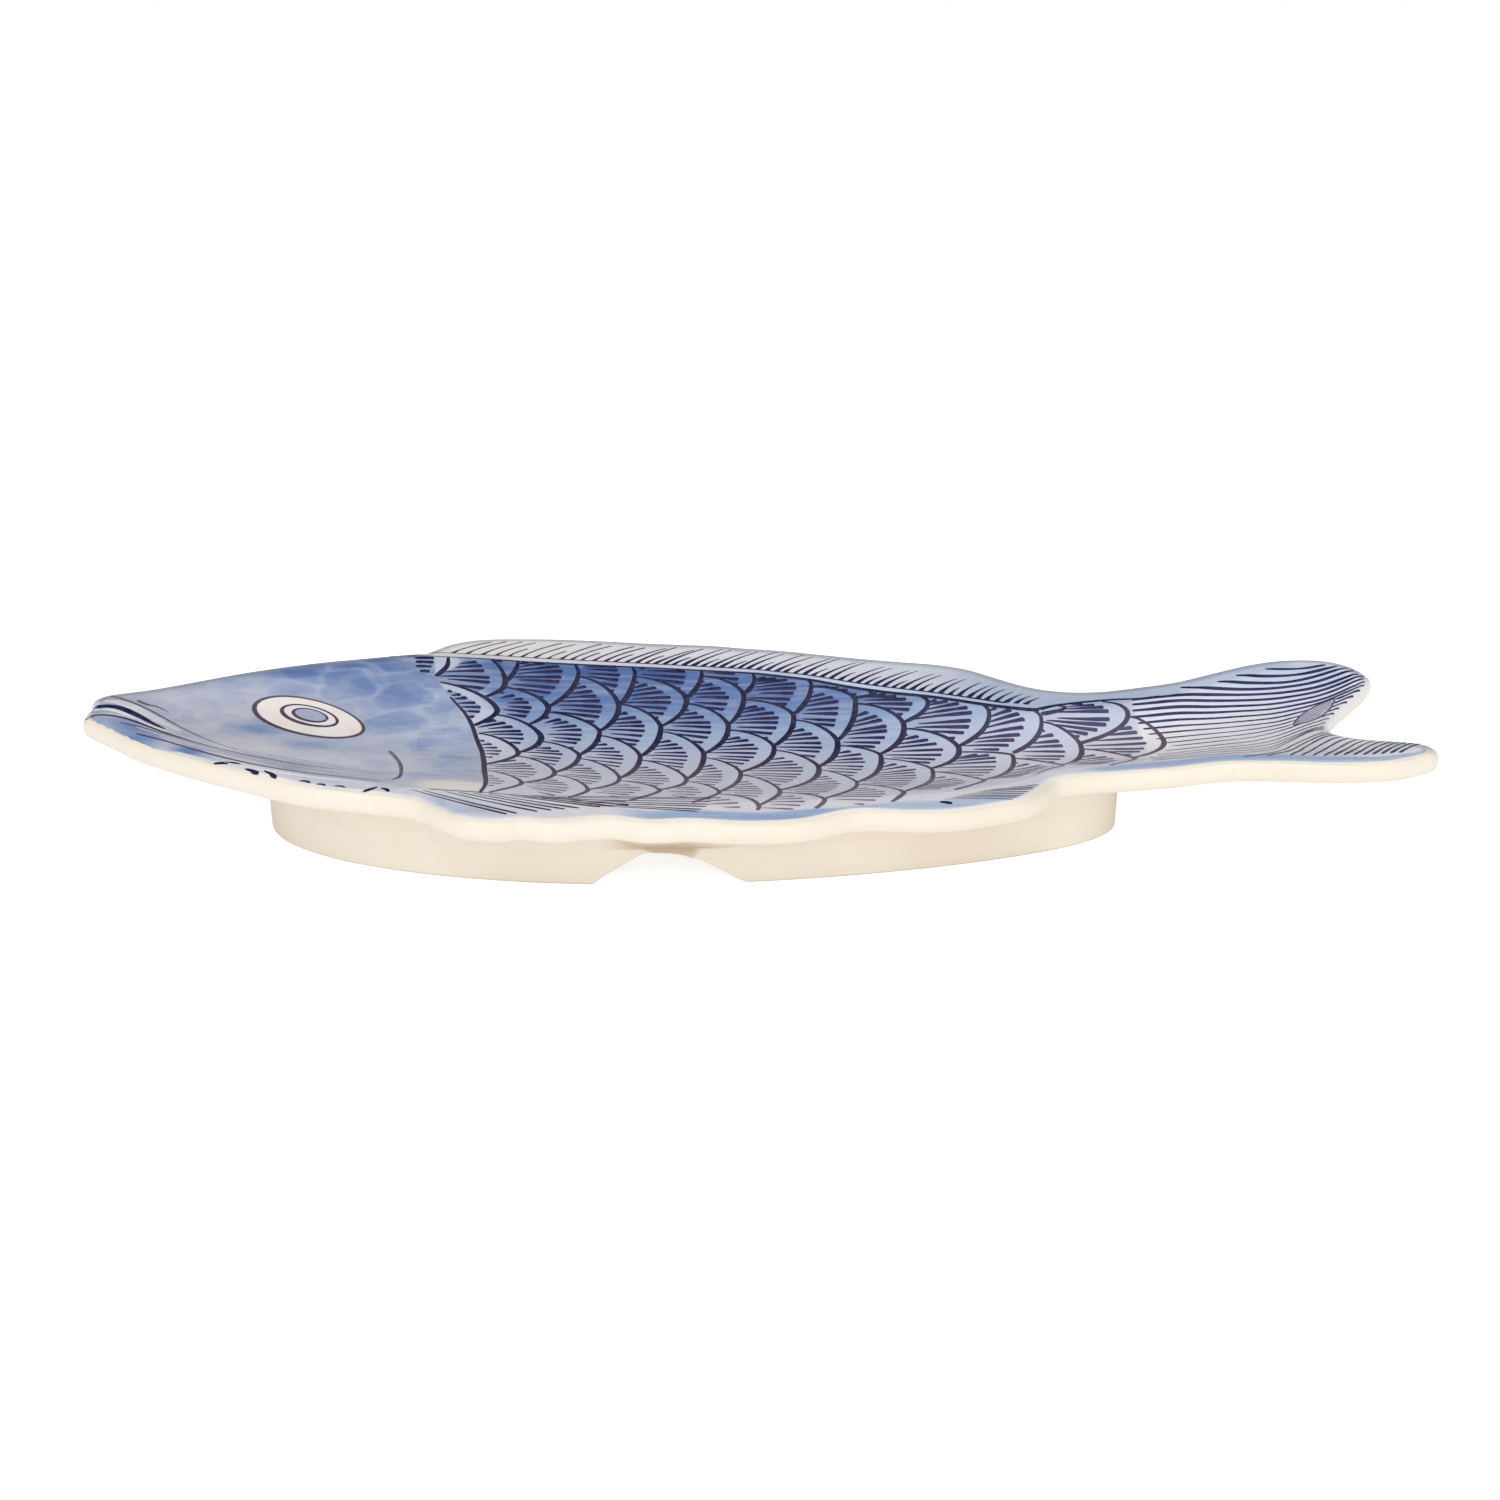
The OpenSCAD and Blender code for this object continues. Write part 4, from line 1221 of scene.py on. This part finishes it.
# Dark flecks of the throat: from, to and width
FLECKS = [
    ((-133.5, -43.4), (-126.5, -43.6), 2.0), ((-124.8, -46.6), (-121, -50.4), 1.9),
    ((-120, -47.4), (-116, -52.8), 1.5), ((-110, -53.6), (-107, -55), 1.2),
    ((-105.5, -55.4), (-103, -56.4), 1.1), ((-101, -56.2), (-98, -57), 0.9),
    ((-90.4, -55.4), (-93.4, -59.2), 1.3), ((-89.4, -56), (-87.2, -58.4), 1.3),
    ((48.6, -56.6), (51.6, -58), 1.9),
]


def draw_head(ink):
    turn = np.linspace(0, 1, 13)
    for half, off, width, tone, _, _ in EYE_RINGS:
        ring = eye_ring(half, off)
        ink.stroke(np.vstack([ring, ring[1:2]]), width, tone=tone, line_ink=True, blunt=(0.05, 0.05),
                   swell=list(zip(turn, 0.92 - 0.3 * np.sin(2 * math.pi * turn))))
    lid = eye_ring(*EYE_RINGS[0][:2], grow=0.1)
    ink.stroke(lid[50:93], 0.9, tone=0.85, line_ink=True, blunt=(6, 6))
    for points, width, tone in MOUTH_LINES:
        ink.stroke(spline(points), width, tone=tone, line_ink=width < 1, blunt=(0.3, 4),
                   swell=[(0, 1), (0.35, 1.05), (0.7, 0.7), (1, 0.35)])
    for points, width, colour in MOUTH_LIGHTS:
        ink.stroke(spline(points), width, blunt=(1, 8), swell=[(0, 0.6), (0.2, 1), (1, 0.4)],
                   colours=[(0, colour)])
    upper, lower = (even_count(even_line(spline(guide), 1.0), 70) for guide in JAW_GUIDES)
    for k in range(JAW_LINE_N):
        line = mix(upper, lower, (k + 0.5 + ink.rng.uniform(-0.25, 0.25)) / JAW_LINE_N)
        a, b = sorted(ink.rng.uniform(0, 1, 2) * (24, 22) + (0, 48))
        ink.stroke(line[int(a):int(b)], ink.rng.uniform(0.3, 0.5), blunt=(2, 6), colours=JAW_COLOURS)
    ink.stroke(spline(CHEEK_LINE), 1.0, tone=(0.2, 0.35), line_ink=True, blunt=(0.6, 2),
               swell=[(0, 1.2), (1, 0.8)])
    for a, b, width in FLECKS:
        middle = mix(np.array(a), b, 0.5) + (0.3, 0.5)
        ink.stroke(spline([a, middle, b], 0.4), width, tone=1.0, blunt=(0.5, 1.2),
                   swell=[(0, 0.5), (0.3, 0.9), (0.7, 1.0), (1, 0.5)])
    for a, b in SHOULDER_STROKES:
        middle = mix(np.array(a), b, 0.5) + (0, 0.2)
        ink.stroke(spline([a, middle, b]), 1.7, tone=1.0, blunt=(0.8, 0.3))


# Belly fins: roots, middles and ends of the rays from the first to the last, their number, width and tones
BELLY_FANS = [
    ([(-82.5, -56), (-73, -56.1), (-50, -57)], [(-70, -63), (-56, -60.4), (-40, -58)],
     [(-57.5, -69.3), (-43, -64), (-28, -60)], 9, 0.75, (0.35, 0.6)),
    ([(-52, -56), (-46, -57.8), (-36, -61)], [(-28, -53.4), (-27, -57), (-23, -61.8)],
     [(-8, -52.4), (-8.4, -58.2), (-11, -63)], 7, 0.55, (0.25, 0.8)),
    ([(50, -54.6), (54, -52), (62, -48)], [(58, -54), (62, -51), (68, -46.4)],
     [(67, -54.6), (71, -50), (74.5, -44.6)], 8, 0.5, (0.3, 0.3)),
]


def draw_belly_fins(ink):
    for roots, middles, ends, count, width, tone in BELLY_FANS:
        lines = [even_line(spline(line, 0.2), 0.1) for line in (roots, middles, ends)]
        for k in range(count):
            share = clamp((k + ink.rng.uniform(-0.2, 0.2)) / (count - 1))
            ink.stroke(spline([line[int(share * (len(line) - 1))] for line in lines]), width, tone=tone,
                       line_ink=True, blunt=(2, 0.4), swell=[(0, 0.5), (0.5, 0.85), (0.92, 1.25), (1, 1)])


def build_eye(material):
    """Fills of the eye: cream white, pale ring and grey blue pupil, as thin discs under the ink."""
    points = []
    faces = []
    colours = []
    for half, off, _, _, colour, lift in EYE_RINGS:
        centre = np.add(EYE_AT, off)
        plan = np.vstack([mix(centre, eye_ring(half, off)[:-1], share) for share in (1.0, 0.75, 0.5, 0.25)]
                         + [centre])
        first = len(points) * len(plan)
        faces += ring_faces(4, EYE_STEPS, first) + fan_faces(EYE_STEPS, first + 3 * EYE_STEPS)
        points.append(lay_on_face(plan, lift))
        colours.append(np.tile(colour, (len(plan), 1)))
    make_piece("print_eye", np.vstack(points), faces, material, {"fill": np.vstack(colours)})


# Materials
class Nodes:
    """Short calls for the nodes of a material or a world."""

    def __init__(self, owner, surface="Principled BSDF"):
        owner.use_nodes = True
        self.owner = owner
        self.tree = owner.node_tree
        self.surface = self.tree.nodes[surface]

    def put(self, node, inputs):
        """Sets inputs of a node: each to a value or to another node's output."""
        for key, value in inputs.items():
            socket = node.inputs[key]
            if isinstance(value, bpy.types.NodeSocket):
                self.tree.links.new(value, socket)
            elif isinstance(value, tuple):
                socket.default_value = (*value, 1.0)[:len(socket.default_value)]
            else:
                socket.default_value = value

    def add(self, kind, inputs, output=0, **settings):
        """Output of a new node."""
        node = self.tree.nodes.new("ShaderNode" + kind)
        for key, value in settings.items():
            setattr(node, key, value)
        self.put(node, inputs)
        return node.outputs[output]

    def attribute(self, name, channel="Fac"):
        return self.add("Attribute", {}, channel, attribute_name=name)

    def noise(self, scale, detail=2.0, rough=0.5, distortion=0.0, stretch=(1, 1, 1)):
        place = self.add("TexCoord", {}, "Object")
        if stretch != (1, 1, 1):
            place = self.add("Mapping", {"Vector": place, "Scale": stretch})
        return self.add("TexNoise", {"Vector": place, "Scale": scale, "Detail": detail, "Roughness": rough,
                                     "Distortion": distortion}, "Fac")

    def lobes(self, scale):
        """Warped cells like round dabs of a brush: a tone for each, and the run from middle to edge."""
        place = self.add("TexCoord", {}, "Object")
        warp = self.add("TexNoise", {"Vector": place, "Scale": scale * 0.8}, "Color")
        place = self.add("VectorMath", {0: warp, 1: (LOBE_WARP, LOBE_WARP, 0), 2: place},
                         operation="MULTIPLY_ADD")
        cells = {"Vector": place, "Scale": scale, "Smoothness": 0.2}
        tone = self.add("TexVoronoi", cells, "Color", voronoi_dimensions="2D", feature="SMOOTH_F1")
        return tone, self.range(tone.node.outputs["Distance"], 0.05, 0.7)

    def range(self, source, low, high, to_low=0.0, to_high=1.0):
        return self.add("MapRange", {"Value": source, "From Min": low, "From Max": high, "To Min": to_low,
                                     "To Max": to_high}, interpolation_type="SMOOTHSTEP")

    def math(self, operation, a, b):
        return self.add("Math", {0: a, 1: b}, operation=operation)

    def times(self, a, b, c=None):
        product = self.math("MULTIPLY", a, b)
        return product if c is None else self.math("MULTIPLY", product, c)

    def mix(self, amount, base, colour, blend="MIX"):
        """Base under a colour, each an output or a colour. Sockets 6, 7 and 2 are those for colours."""
        base, colour = (rgb(c) if isinstance(c, tuple) else c for c in (base, colour))
        return self.add("Mix", {0: amount, 6: base, 7: colour}, 2, data_type="RGBA", blend_type=blend)

    def deepen(self, amount, base, colour):
        return self.mix(amount, base, colour, "MULTIPLY")

    def gloss(self, scale, low, high):
        """Roughness that drifts between two values."""
        return self.range(self.noise(scale), 0.3, 0.7, low, high)

    def glaze(self, colour, roughness, bump_scale, bump_height):
        """Closes the material as a glazed surface with a faint unevenness."""
        bump = self.add("Bump", {"Distance": bump_height, "Strength": 0.5, "Height": self.noise(bump_scale)},
                        "Normal")
        self.put(self.surface, {"Base Color": colour, "Roughness": roughness, "Specular IOR Level": 0.3,
                                "Coat Weight": 0.15, "Coat Roughness": 0.1, "Normal": bump,
                                "Coat Normal": bump})
        return self.owner


# Colours of the details, and tints that darken what they are laid on
# Brown painted shade under the dish beside the notches
NOTCH_PAINTED_SHADE = (204, 184, 152)
SPECK_BROWN = (205, 184, 152)
CLAY_DARK = (196, 172, 138)
CLAY_PALE = (214, 194, 164)
FIRST_PATCH = (216, 228, 246)
SECOND_PATCH = (228, 232, 240)
DAB_PALE = (236, 236, 243)
DAB_BLUE = (206, 219, 240)
STREAK_PALE = (246, 244, 250)
GRAIN_BLUE = (120, 124, 160)
THIN_INK = (150, 156, 196)
POOLED_INK = (196, 196, 214)
EYE_DRIFT = (248, 240, 238)
# Dabs of the head: cells to the metre in each layer, and how far they are warped, in metres
LOBE_SCALES = (56, 90)
LOBE_WARP = 0.02


def new_material(name):
    return Nodes(bpy.data.materials.new(name))


def dish_material():
    """Cream glaze with drifts of tone and fine specks, a touch darker underneath and browner by the notches
    as painted shade. The print wraps over the lip.
    """
    tree = new_material("cream glaze")
    drift = tree.range(tree.noise(22, 3, 0.55, 0.4), 0.35, 0.7)
    # The underside's cream is a touch darker than the top's: painted shade
    under = tree.mix(drift, SHADED_UNDER_CREAM, SHADED_UNDER_CREAM_DEEP)
    base = tree.mix(tree.attribute("under"), tree.mix(drift, CREAM, CREAM_SHADE), under)
    # Painted shade under the dish beside the notches
    base = tree.mix(tree.attribute("shade"), base, NOTCH_PAINTED_SHADE)
    specks = tree.range(tree.noise(900, 1, 0.4), 0.70, 0.78, 0.0, 0.16)
    base = tree.mix(specks, base, SPECK_BROWN)
    base = tree.mix(tree.attribute("wrap"), base, tree.attribute("wash", "Color"))
    return tree.glaze(base, tree.gloss(60, 0.26, 0.36), 160, 0.00012)


def foot_material():
    """Cream glaze that ends at a bare standing edge; its cream is the underside's slightly darker one, a
    painted shade.
    """
    tree = new_material("foot glaze")
    drift = tree.range(tree.noise(26, 3, 0.55, 0.3), 0.35, 0.7)
    grit = tree.range(tree.noise(1400, 2, 0.6), 0.35, 0.65)
    clay = tree.mix(grit, CLAY_DARK, CLAY_PALE)
    bare = tree.attribute("bare")
    base = tree.mix(bare, tree.mix(drift, SHADED_UNDER_CREAM, SHADED_UNDER_CREAM_DEEP), clay)
    roughness = tree.math("ADD", tree.gloss(60, 0.28, 0.38), tree.times(bare, 0.4))
    return tree.glaze(base, roughness, 260, 0.00012)


def film_material(name, edge_scale, brush):
    """Washes of the print: overlapping brush patches, round dabs on the head, streaks and pigment grain."""
    tree = new_material(name)
    cloud = tree.attribute("cloud")
    base = tree.attribute("wash", "Color")
    first = tree.range(tree.noise(edge_scale, 3, 0.5, 0.9), 0.47, 0.50, 0, 0.30)
    base = tree.deepen(tree.times(first, cloud), base, FIRST_PATCH)
    second = tree.range(tree.noise(edge_scale * 1.7, 2, 0.5, 1.2), 0.52, 0.56, 0, 0.34)
    base = tree.deepen(tree.times(second, cloud), base, SECOND_PATCH)
    dabs = tree.range(cloud, 0.4, 1.0)
    for scale in LOBE_SCALES:
        tone, reach = tree.lobes(scale)
        pale = tree.times(tree.range(tone, 0.42, 0.7, 0.0, 0.14), reach, dabs)
        base = tree.mix(pale, base, DAB_PALE)
        deep = tree.times(tree.range(tone, 0.55, 0.35, 0.0, 0.5), tree.math("SUBTRACT", 1.0, reach), dabs)
        base = tree.deepen(deep, base, DAB_BLUE)
    streak = tree.range(tree.noise(1.0, 3, 0.6, 0.2, brush), 0.42, 0.66, 0, 0.16)
    base = tree.mix(streak, base, STREAK_PALE)
    grain = tree.range(tree.noise(1500, 2, 0.6), 0.3, 0.7, 0, 0.06)
    base = tree.mix(grain, base, GRAIN_BLUE)
    return tree.glaze(base, tree.gloss(70, 0.24, 0.34), 140, 0.0001)


def ink_material():
    """Brushed ink: its load changes along the strokes and pools in places."""
    tree = new_material("brushed ink")
    load = tree.range(tree.noise(420, 3, 0.6, 0.3), 0.35, 0.7, 0, 0.08)
    base = tree.mix(load, tree.attribute("ink", "Color"), THIN_INK)
    pool = tree.range(tree.noise(150), 0.5, 0.7, 0, 0.2)
    base = tree.deepen(pool, base, POOLED_INK)
    return tree.glaze(base, tree.gloss(300, 0.24, 0.36), 300, 0.00005)


def eye_material():
    tree = new_material("eye enamel")
    drift = tree.range(tree.noise(120, 3, 0.5, 0.5), 0.4, 0.65, 0, 0.5)
    base = tree.deepen(drift, tree.attribute("fill", "Color"), EYE_DRIFT)
    return tree.glaze(base, tree.gloss(90, 0.22, 0.32), 160, 0.0001)


# Camera, light and floor
CAMERA_ELEVATION = 20.0
CAMERA_TARGET = (1.73, -5.6, 16.8)
CAMERA_DISTANCE = 600.0
FRAME_PX = 1500
FOCAL_PX = 2226.0
SENSOR_W = 36.0
# Light of the studio on surfaces, and what reflections see of it: at eye level and overhead
STUDIO_LEVEL = 0.60
STUDIO_DIM = 0.04
STUDIO_BOX = 0.9
FLOOR_W = 2400.0
FLOOR_WHITE = 0.9
FLOOR_GLOW = 0.70
FLOOR_LIGHT = 0.12
WHITE = (1.0, 1.0, 1.0)


def add_object(name, data):
    thing = bpy.data.objects.new(name, data)
    bpy.context.scene.collection.objects.link(thing)
    return thing


def build_camera():
    data = bpy.data.cameras.new("photo camera")
    data.sensor_width = SENSOR_W
    data.lens = FOCAL_PX / FRAME_PX * SENSOR_W
    data.clip_start = 0.01
    camera = add_object("photo camera", data)
    tilt = math.radians(CAMERA_ELEVATION)
    back = np.array((0, -math.cos(tilt), math.sin(tilt))) * CAMERA_DISTANCE
    camera.location = (back + CAMERA_TARGET) * MM
    camera.rotation_euler = (math.pi / 2 - tilt, 0, 0)
    bpy.context.scene.camera = camera


def sun(name, elevation, azimuth, level, softness):
    """Sun lamp. level is the share of full light on a surface facing it; azimuth 0 is the viewer's side."""
    data = bpy.data.lights.new(name, "SUN")
    data.energy = level * math.pi
    data.angle = math.radians(softness)
    add_object(name, data).rotation_euler = (math.radians(90 - elevation), 0, math.radians(azimuth))


def build_world():
    """Plain light all round. Reflections see a soft box overhead and a dim studio at eye level."""
    bpy.context.scene.world = bpy.data.worlds.new("studio")
    tree = Nodes(bpy.context.scene.world, "Background")
    height = tree.add("SeparateXYZ", {0: tree.add("TexCoord", {}, "Generated")}, "Z")
    level = tree.add("Mix", {0: tree.add("LightPath", {}, "Is Glossy Ray"), 2: STUDIO_LEVEL,
                             3: tree.range(height, 0.55, 0.8, STUDIO_DIM, STUDIO_BOX)})
    level = tree.add("Mix", {0: tree.add("LightPath", {}, "Is Camera Ray"), 2: level, 3: 1.0})
    tree.put(tree.surface, {"Color": WHITE, "Strength": level})


def build_floor():
    half = FLOOR_W / 2 * MM
    mesh = bpy.data.meshes.new("floor")
    corners = [(-half, -half, 0), (half, -half, 0), (half, half, 0), (-half, half, 0)]
    mesh.from_pydata(corners, [], [range(4)])
    tree = new_material("white floor")
    glow = tree.add("Mix", {0: tree.add("LightPath", {}, "Is Camera Ray"), 2: FLOOR_LIGHT, 3: FLOOR_GLOW})
    tree.put(tree.surface, {"Base Color": (FLOOR_WHITE,) * 3, "Roughness": 1.0, "Specular IOR Level": 0.0,
                            "Emission Color": WHITE, "Emission Strength": glow})
    mesh.materials.append(tree.owner)
    add_object("floor", mesh)


def build_studio():
    bpy.context.scene.view_settings.view_transform = "Standard"
    build_world()
    sun("key", 64, -20, 0.24, 40)
    sun("fill", 12, 8, 0.27, 60)
    build_floor()


def build_films():
    rows = np.arange((ROW_N - 1) * FILM_STEPS + 1) / FILM_STEPS
    cols = across_places(FILM_WELL_COLS, FILM_FIN_COLS)
    head = rows[rows <= GILL_ROW]
    flank = rows[(rows >= GILL_ROW) & (rows <= TAIL_ROW)]
    tail = rows[rows >= TAIL_ROW]
    for name, label, places, across, edge_scale, brush in (
            ("head", "head wash", head, cols, 42, (30, 90, 30)),
            ("flank", "flank wash", flank, cols[(cols >= 1) & (cols <= 2)], 60, (60, 420, 60)),
            ("dorsal_fin", "dorsal fin wash", flank, cols[cols >= 2], 60, (500, 380, 100)),
            ("belly_fins", "belly fin wash", flank, cols[cols <= 1], 50, (40, 500, 60)),
            ("tail", "tail wash", tail, cols, 60, (40, 420, 60))):
        material = film_material(label, edge_scale, brush)
        build_film("film_" + name, "print_" + name, places, across, material)


def build_inks():
    material = ink_material()
    for name, node, seed, draws in (
            ("ink_scales", "print_flank", 11, (draw_scales, draw_body_lines)),
            ("ink_dorsal_rays", "print_dorsal_fin", 12, (draw_dorsal_rays,)),
            ("ink_belly_rays", "print_belly_fins", 13, (draw_belly_fins,)),
            ("ink_tail_rays", "print_tail", 14, (draw_tail,)),
            ("ink_head_lines", "print_head", 15, (draw_head,))):
        ink = Ink(seed)
        for draw in draws:
            draw(ink)
        ink.build(name, material)


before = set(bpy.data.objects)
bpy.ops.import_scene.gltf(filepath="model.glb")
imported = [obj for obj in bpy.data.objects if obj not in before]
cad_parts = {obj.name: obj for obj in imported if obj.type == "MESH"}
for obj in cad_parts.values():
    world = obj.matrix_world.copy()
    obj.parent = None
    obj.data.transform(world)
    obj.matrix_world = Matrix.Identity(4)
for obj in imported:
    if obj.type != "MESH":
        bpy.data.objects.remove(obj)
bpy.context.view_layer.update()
build_dish(dish_material())
foot_glaze = foot_material()
build_foot_half("foot_half_head", "foot_head", -1, foot_glaze)
build_foot_half("foot_half_tail", "foot_tail", 1, foot_glaze)
build_films()
build_eye(eye_material())
build_inks()
build_camera()
build_studio()
